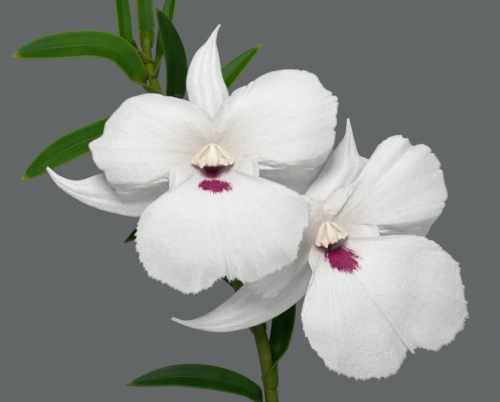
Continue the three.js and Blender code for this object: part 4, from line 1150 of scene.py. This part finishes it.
pot = {
    "footRadius": 39, "topRadius": 55, "height": 95, "wall": 4, "floor": 6, "sides": 128,  # mm
    "rimHeight": 17, "rimStep": 3, "rimTaper": 0.6, "lipBevel": 1.5, "edgeBevel": 0.8,
    "drains": 4, "drainRadius": 4.5, "drainRing": 21,
}
clayLook = {
    "clay": "#B4704A", "dark": "#96583A",
    "bloom": "#D9B9A0",  # the pale lime of old watering
    "grit": 0.9,  # mm, grains of the fired clay, drawn coarse so that they show
    "stain": 28, "bloomReach": (4, 30),  # mm, the second from the floor up
    "rings": (6, 6, 420),  # throwing lines, to a metre
}


# Unglazed earthenware: matte, thirsty and sandy, with faint throwing lines and pale lime bloom
def clayMaterial():
    look = clayLook
    material, places = startMaterial("unglazed earthenware")
    rings = addNode(material, "Mapping", {"Scale": look["rings"], "Vector": places["Object"]})
    lines = addNode(material, "TexNoise", {"Scale": 1.0, "Detail": 2.0, "Vector": rings})
    grit = addNode(material, "TexNoise", {
        "Scale": 1 / (look["grit"] * mm), "Detail": 3.0, "Roughness": 0.7,
        "Vector": places["Object"]})
    stain = addNode(material, "TexNoise", {
        "Scale": 1 / (look["stain"] * mm), "Detail": 4.0, "Roughness": 0.6,
        "Vector": places["Object"]})
    stainShare = addNode(material, "ValToRGB", {"stops": [(0.4, 0.0), (0.7, 0.85)], "Fac": stain})
    parts = addNode(material, "SeparateXYZ", {0: places["Object"]})
    low, high = look["bloomReach"]
    foot = addNode(material, "MapRange", {
        "From Min": low * mm, "From Max": high * mm, "To Min": 0.75, "To Max": 0.25,
        "Value": parts.outputs["Z"]})
    bloomShare = addNode(material, "Math", {"operation": "MULTIPLY", 0: stainShare, 1: foot})
    colour = look["clay"]
    for share, layer in ((grit, "dark"), (bloomShare, "bloom")):
        colour = addNode(material, "Mix", {
            "data_type": "RGBA", mixShare: share, mixFirst: colour, mixSecond: look[layer]})
    height = addNode(material, "Math", {"operation": "MULTIPLY_ADD", 0: lines, 1: 0.5, 2: grit})
    bump = addNode(material, "Bump", {"Strength": 0.6, "Distance": 0.35 * mm, "Height": height})
    return finishMaterial(material, {
        "Roughness": 0.88, "IOR": 1.45, "Base Color": colour, "Normal": bump})


def potRadius(height):
    return lerp(pot["footRadius"], pot["topRadius"] - pot["rimStep"], height / pot["height"])


def potPiece():
    rimFoot = pot["height"] - pot["rimHeight"]
    profile = [  # radius and height from the foot's edge up, over the rim and down inside
        (pot["footRadius"], 0), (potRadius(rimFoot), rimFoot),
        (pot["topRadius"] - pot["rimTaper"], rimFoot),
        (pot["topRadius"], pot["height"] - pot["lipBevel"]),
        (pot["topRadius"] - pot["lipBevel"], pot["height"]),
        (potRadius(pot["height"]) - pot["wall"], pot["height"]),
        (potRadius(pot["floor"]) - pot["wall"], pot["floor"]),
    ]
    deselectAll()
    bpy.ops.mesh.primitive_circle_add(
        vertices=pot["sides"], radius=profile[0][0] * mm, fill_type="NGON")
    piece = bpy.context.object
    piece.name = piece.data.name = "clay_pot"
    bpy.ops.object.mode_set(mode="EDIT")
    bpy.ops.mesh.select_all(action="SELECT")
    for (radius, height), (nextRadius, nextHeight) in zip(profile, profile[1:]):
        rise = (nextHeight - height) * mm
        bpy.ops.mesh.extrude_region_move(TRANSFORM_OT_translate={"value": (0, 0, rise)})
        size = nextRadius / radius
        bpy.ops.transform.resize(value=(size, size, 1), center_override=(0, 0, nextHeight * mm))
    bpy.ops.mesh.select_all(action="SELECT")
    bpy.ops.mesh.normals_make_consistent(inside=False)
    bpy.ops.object.mode_set(mode="OBJECT")
    ring = pot["drainRing"] * mm
    for i in range(pot["drains"]):
        angle = (i + 0.5) / pot["drains"] * math.tau
        deselectAll()
        bpy.ops.mesh.primitive_cylinder_add(
            vertices=32, radius=pot["drainRadius"] * mm, depth=4 * pot["floor"] * mm,
            location=(ring * math.cos(angle), ring * math.sin(angle), 0))
        cutAway(piece, bpy.context.object)
    applyModifier(piece, "BEVEL", {
        "width": pot["edgeBevel"] * mm, "segments": 3, "limit_method": "ANGLE",
        "angle_limit": math.radians(30)})
    smooth(piece, 35)
    dress(piece, clayMaterial(), "clay", "pot")


bark = {
    "top": 80, "gap": 0.3, "reach": 45, "chips": 230, "seed": 12, "shapes": 8,
    "size": (11, 6.5, 2.4), "spread": (7, 4, 1.6), "tilt": 30,  # mm, mm and degrees
    "crumb": 0.58,  # every second chip is a crumb
    "rise": 0.8, "lift": 3.4, "press": 0.8,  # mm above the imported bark, and past it to the wall
    "caneRoom": 3.8, "holeRoom": 0.9, "holeDepth": 34,  # mm
}
chip = {  # shares of a slab of unit size
    "cuts": 2, "lean": 0.3, "narrow": (0.2, 0.55), "ragged": (0.22, 0.10), "sideRagged": 0.12,
    "flake": 0.12, "flakes": 2.5, "bow": 0.18, "rough": 0.1,
}
barkLook = {
    "dark": "#2A1A12", "brown": "#6B4226", "worn": "#A87A50",
    "grain": 2.6, "layers": (1, 1, 3.2),  # mm, and how much flatter the cork's layers lie
}


# Conifer bark: split chips, dark cork outside, red-brown fibre on the broken faces
def barkMaterial():
    look = barkLook
    material, places = startMaterial("conifer bark")
    layers = addNode(material, "Mapping", {
        "Scale": look["layers"], "Rotation": (0.4, 0.3, 0), "Vector": places["Object"]})
    grain = addNode(material, "TexNoise", {
        "Scale": 1 / (look["grain"] * mm), "Detail": 5.0, "Roughness": 0.7, "Distortion": 0.6,
        "Vector": layers})
    shade = addNode(material, "ValToRGB", {
        "stops": [(0.3, look["dark"]), (0.5, look["brown"]), (0.72, look["worn"])], "Fac": grain})
    tone = addNode(material, "Attribute", {"attribute_name": "tone"})
    toneShare = addNode(material, "MapRange", {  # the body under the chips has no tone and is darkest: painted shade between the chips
        "From Min": 0.0, "From Max": 1.0, "To Min": 0.85, "To Max": 0.0,
        "Value": tone.outputs["Fac"]})
    colour = addNode(material, "Mix", {
        "data_type": "RGBA", mixShare: toneShare, mixFirst: shade, mixSecond: look["dark"]})
    bump = addNode(material, "Bump", {"Strength": 0.9, "Distance": 0.5 * mm, "Height": grain})
    return finishMaterial(material, {
        "Roughness": 0.92, "IOR": 1.4, "Base Color": colour, "Normal": bump})


def chipShape(number):  # one split slab, with a broken outline and flaked faces
    rng = random.Random(bark["seed"] + number)
    deselectAll()
    bpy.ops.mesh.primitive_cube_add(size=1)
    slab = bpy.context.object
    bpy.ops.object.mode_set(mode="EDIT")
    bpy.ops.mesh.select_all(action="SELECT")
    bpy.ops.mesh.subdivide(number_cuts=chip["cuts"])
    bpy.ops.object.mode_set(mode="OBJECT")
    shift = rng.uniform(0, 50)
    lean, narrow = rng.uniform(-chip["lean"], chip["lean"]), rng.uniform(*chip["narrow"])
    coarse, fine = chip["ragged"]
    for vertex in slab.data.vertices:
        x, y, z = vertex.co
        ragged = coarse * noise.noise((shift, y * 2.6, z * 0.8))
        ragged += fine * noise.noise((shift, y * 8, z * 3))
        side = chip["sideRagged"] * noise.noise((x * 3, shift, z * 2))
        flake = chip["flake"] * round(chip["flakes"] * noise.noise((x * 1.6, y * 2.2, shift)))
        bow = chip["bow"] * math.sin(x * 2.2 + shift)
        rough = chip["rough"] * noise.noise((x * 5, y * 5, shift))
        vertex.co = (x * (1 + ragged) + lean * y, y * (1 - narrow * (x + 0.5)) + side,
                     z * (1 + flake * 1.4) + bow + rough)
    return slab


def barkPiece():
    rng = random.Random(bark["seed"])
    shapes = [chipShape(i) for i in range(bark["shapes"])]
    feet = [cane["line"][1][:2] for cane in [tallCane] + sideCanes]
    foot = pot["floor"] + bark["gap"]
    inner, footInner = (potRadius(height) - pot["wall"] - bark["gap"]
                        for height in (bark["top"], foot))
    deselectAll()
    bpy.ops.mesh.primitive_cone_add(
        vertices=96, radius1=footInner * mm, radius2=inner * mm, depth=(bark["top"] - foot) * mm,
        location=(0, 0, (bark["top"] + foot) / 2 * mm))
    body = bpy.context.object
    body.name = body.data.name = "bark_chips"
    for x, y in feet:
        deselectAll()
        bpy.ops.mesh.primitive_cylinder_add(
            vertices=32, radius=(canes["footRadius"] + bark["holeRoom"]) * mm,
            depth=2 * bark["holeDepth"] * mm, location=(x * mm, y * mm, bark["top"] * mm))
        cutAway(body, bpy.context.object)
    chips = []
    for i in range(bark["chips"]):
        reach = bark["reach"] * math.sqrt((i + 0.5) / bark["chips"])
        angle = i * math.pi * (3 - math.sqrt(5))  # the golden angle spreads them evenly
        share = bark["crumb"] if i % 2 else 1
        length, width, height = (share * (size + spread * rng.random())
                                 for size, spread in zip(bark["size"], bark["spread"]))
        tilt = [math.radians(bark["tilt"]) * (rng.random() - 0.5) * 2 for _ in range(2)]
        spin = rng.random() * math.pi
        lift = rng.random()
        reach = min(reach, inner + bark["press"] - math.hypot(length, width) / 2)
        x, y = reach * math.cos(angle), reach * math.sin(angle)
        room = bark["caneRoom"] + length * 0.45
        if any(math.hypot(x - footX, y - footY) < room for footX, footY in feet):
            continue
        piece = shapes[i % len(shapes)].copy()
        piece.data = piece.data.copy()
        bpy.context.scene.collection.objects.link(piece)
        piece.scale = (length * mm, width * mm, height * mm)
        piece.rotation_euler = (tilt[0], tilt[1], spin)
        height = bark["top"] + bark["rise"] + bark["lift"] * lift
        piece.location = (x * mm, y * mm, height * mm)
        # each chip's own tone, at random; the body beneath has none, so it takes the painted shade
        tone = piece.data.attributes.new("tone", "FLOAT", "POINT")
        tone.data.foreach_set("value", [0.35 + 0.65 * rng.random()] * len(piece.data.vertices))
        chips.append(piece)
    for shape in shapes:
        bpy.data.objects.remove(shape)
    makeActive(body, *chips)
    bpy.ops.object.transform_apply(location=True, rotation=True, scale=True)
    bpy.ops.object.join()
    smooth(body, 30)
    dress(body, barkMaterial(), "bark", "bark_medium")


potPiece()
barkPiece()
print("pot and bark made")


# stage: pale floor, soft lamps, and a long lens straight at the flowers

stage = {
    "floor": 9.5, "floorColours": ("#DCDCD8", "#E2E2DE"), "world": "#9FA3A5", "worldStrength": 0.36,
    "photoWidth": 140, "centre": (0, -20, 306.28),  # mm, what the photograph's frame spans
    "lens": 300, "sensor": 36,
}
# place, aim and size in metres, power in watts
lamps = {
    "key": ((-0.14, -1.1, 1.0), (0, 0, 0.28), 0.5, 11.8, "#FFFEFC"),
    "fill": ((0.8, -1.0, 0.32), (0, 0, 0.26), 0.9, 1.9, "#FCFDFF"),
    "rim": ((0.5, 0.9, 0.9), (0, 0, 0.28), 0.5, 4, "#FFFFFF"),
}


def makeStage():
    deselectAll()
    bpy.ops.mesh.primitive_plane_add(size=stage["floor"], location=(0, 0, 0))
    floor = bpy.context.object
    floor.name = "floor"
    material, places = startMaterial("matte paper")
    speck = addNode(material, "TexNoise", {
        "Scale": 40.0, "Detail": 2.0, "Vector": places["Object"]})
    first, second = stage["floorColours"]
    tone = addNode(material, "Mix", {
        "data_type": "RGBA", mixShare: speck, mixFirst: first, mixSecond: second})
    floor.data.materials.append(finishMaterial(material, {"Roughness": 0.9, "Base Color": tone}))
    world = bpy.data.worlds.new("studio")
    bpy.context.scene.world = world
    world.use_nodes = True
    background = world.node_tree.nodes["Background"]
    background.inputs["Color"].default_value = linearColour(stage["world"])
    background.inputs["Strength"].default_value = stage["worldStrength"]


def addLamp(name, place, aim, size, power, colour):
    data = bpy.data.lights.new(name, "AREA")
    data.size = size
    data.energy = power
    data.color = linearColour(colour)[:3]
    lamp = bpy.data.objects.new(name, data)
    bpy.context.scene.collection.objects.link(lamp)
    lamp.location = place
    lamp.rotation_euler = (Vector(aim) - Vector(place)).to_track_quat("-Z", "Y").to_euler()


def addCamera():
    data = bpy.data.cameras.new("camera")
    data.lens = stage["lens"]
    data.sensor_width = stage["sensor"]
    data.clip_start, data.clip_end = 0.05, 50
    camera = bpy.data.objects.new("camera", data)
    bpy.context.scene.collection.objects.link(camera)
    x, y, z = (value * mm for value in stage["centre"])
    distance = stage["photoWidth"] * mm * stage["lens"] / stage["sensor"]
    camera.location = (x, y - distance, z)
    camera.rotation_euler = (math.radians(90), 0, 0)
    bpy.context.scene.camera = camera


makeStage()
for name, (place, aim, size, power, colour) in lamps.items():
    addLamp(name, place, aim, size, power, colour)
addCamera()
bpy.context.scene.view_settings.view_transform = "Standard"
print("stage made")
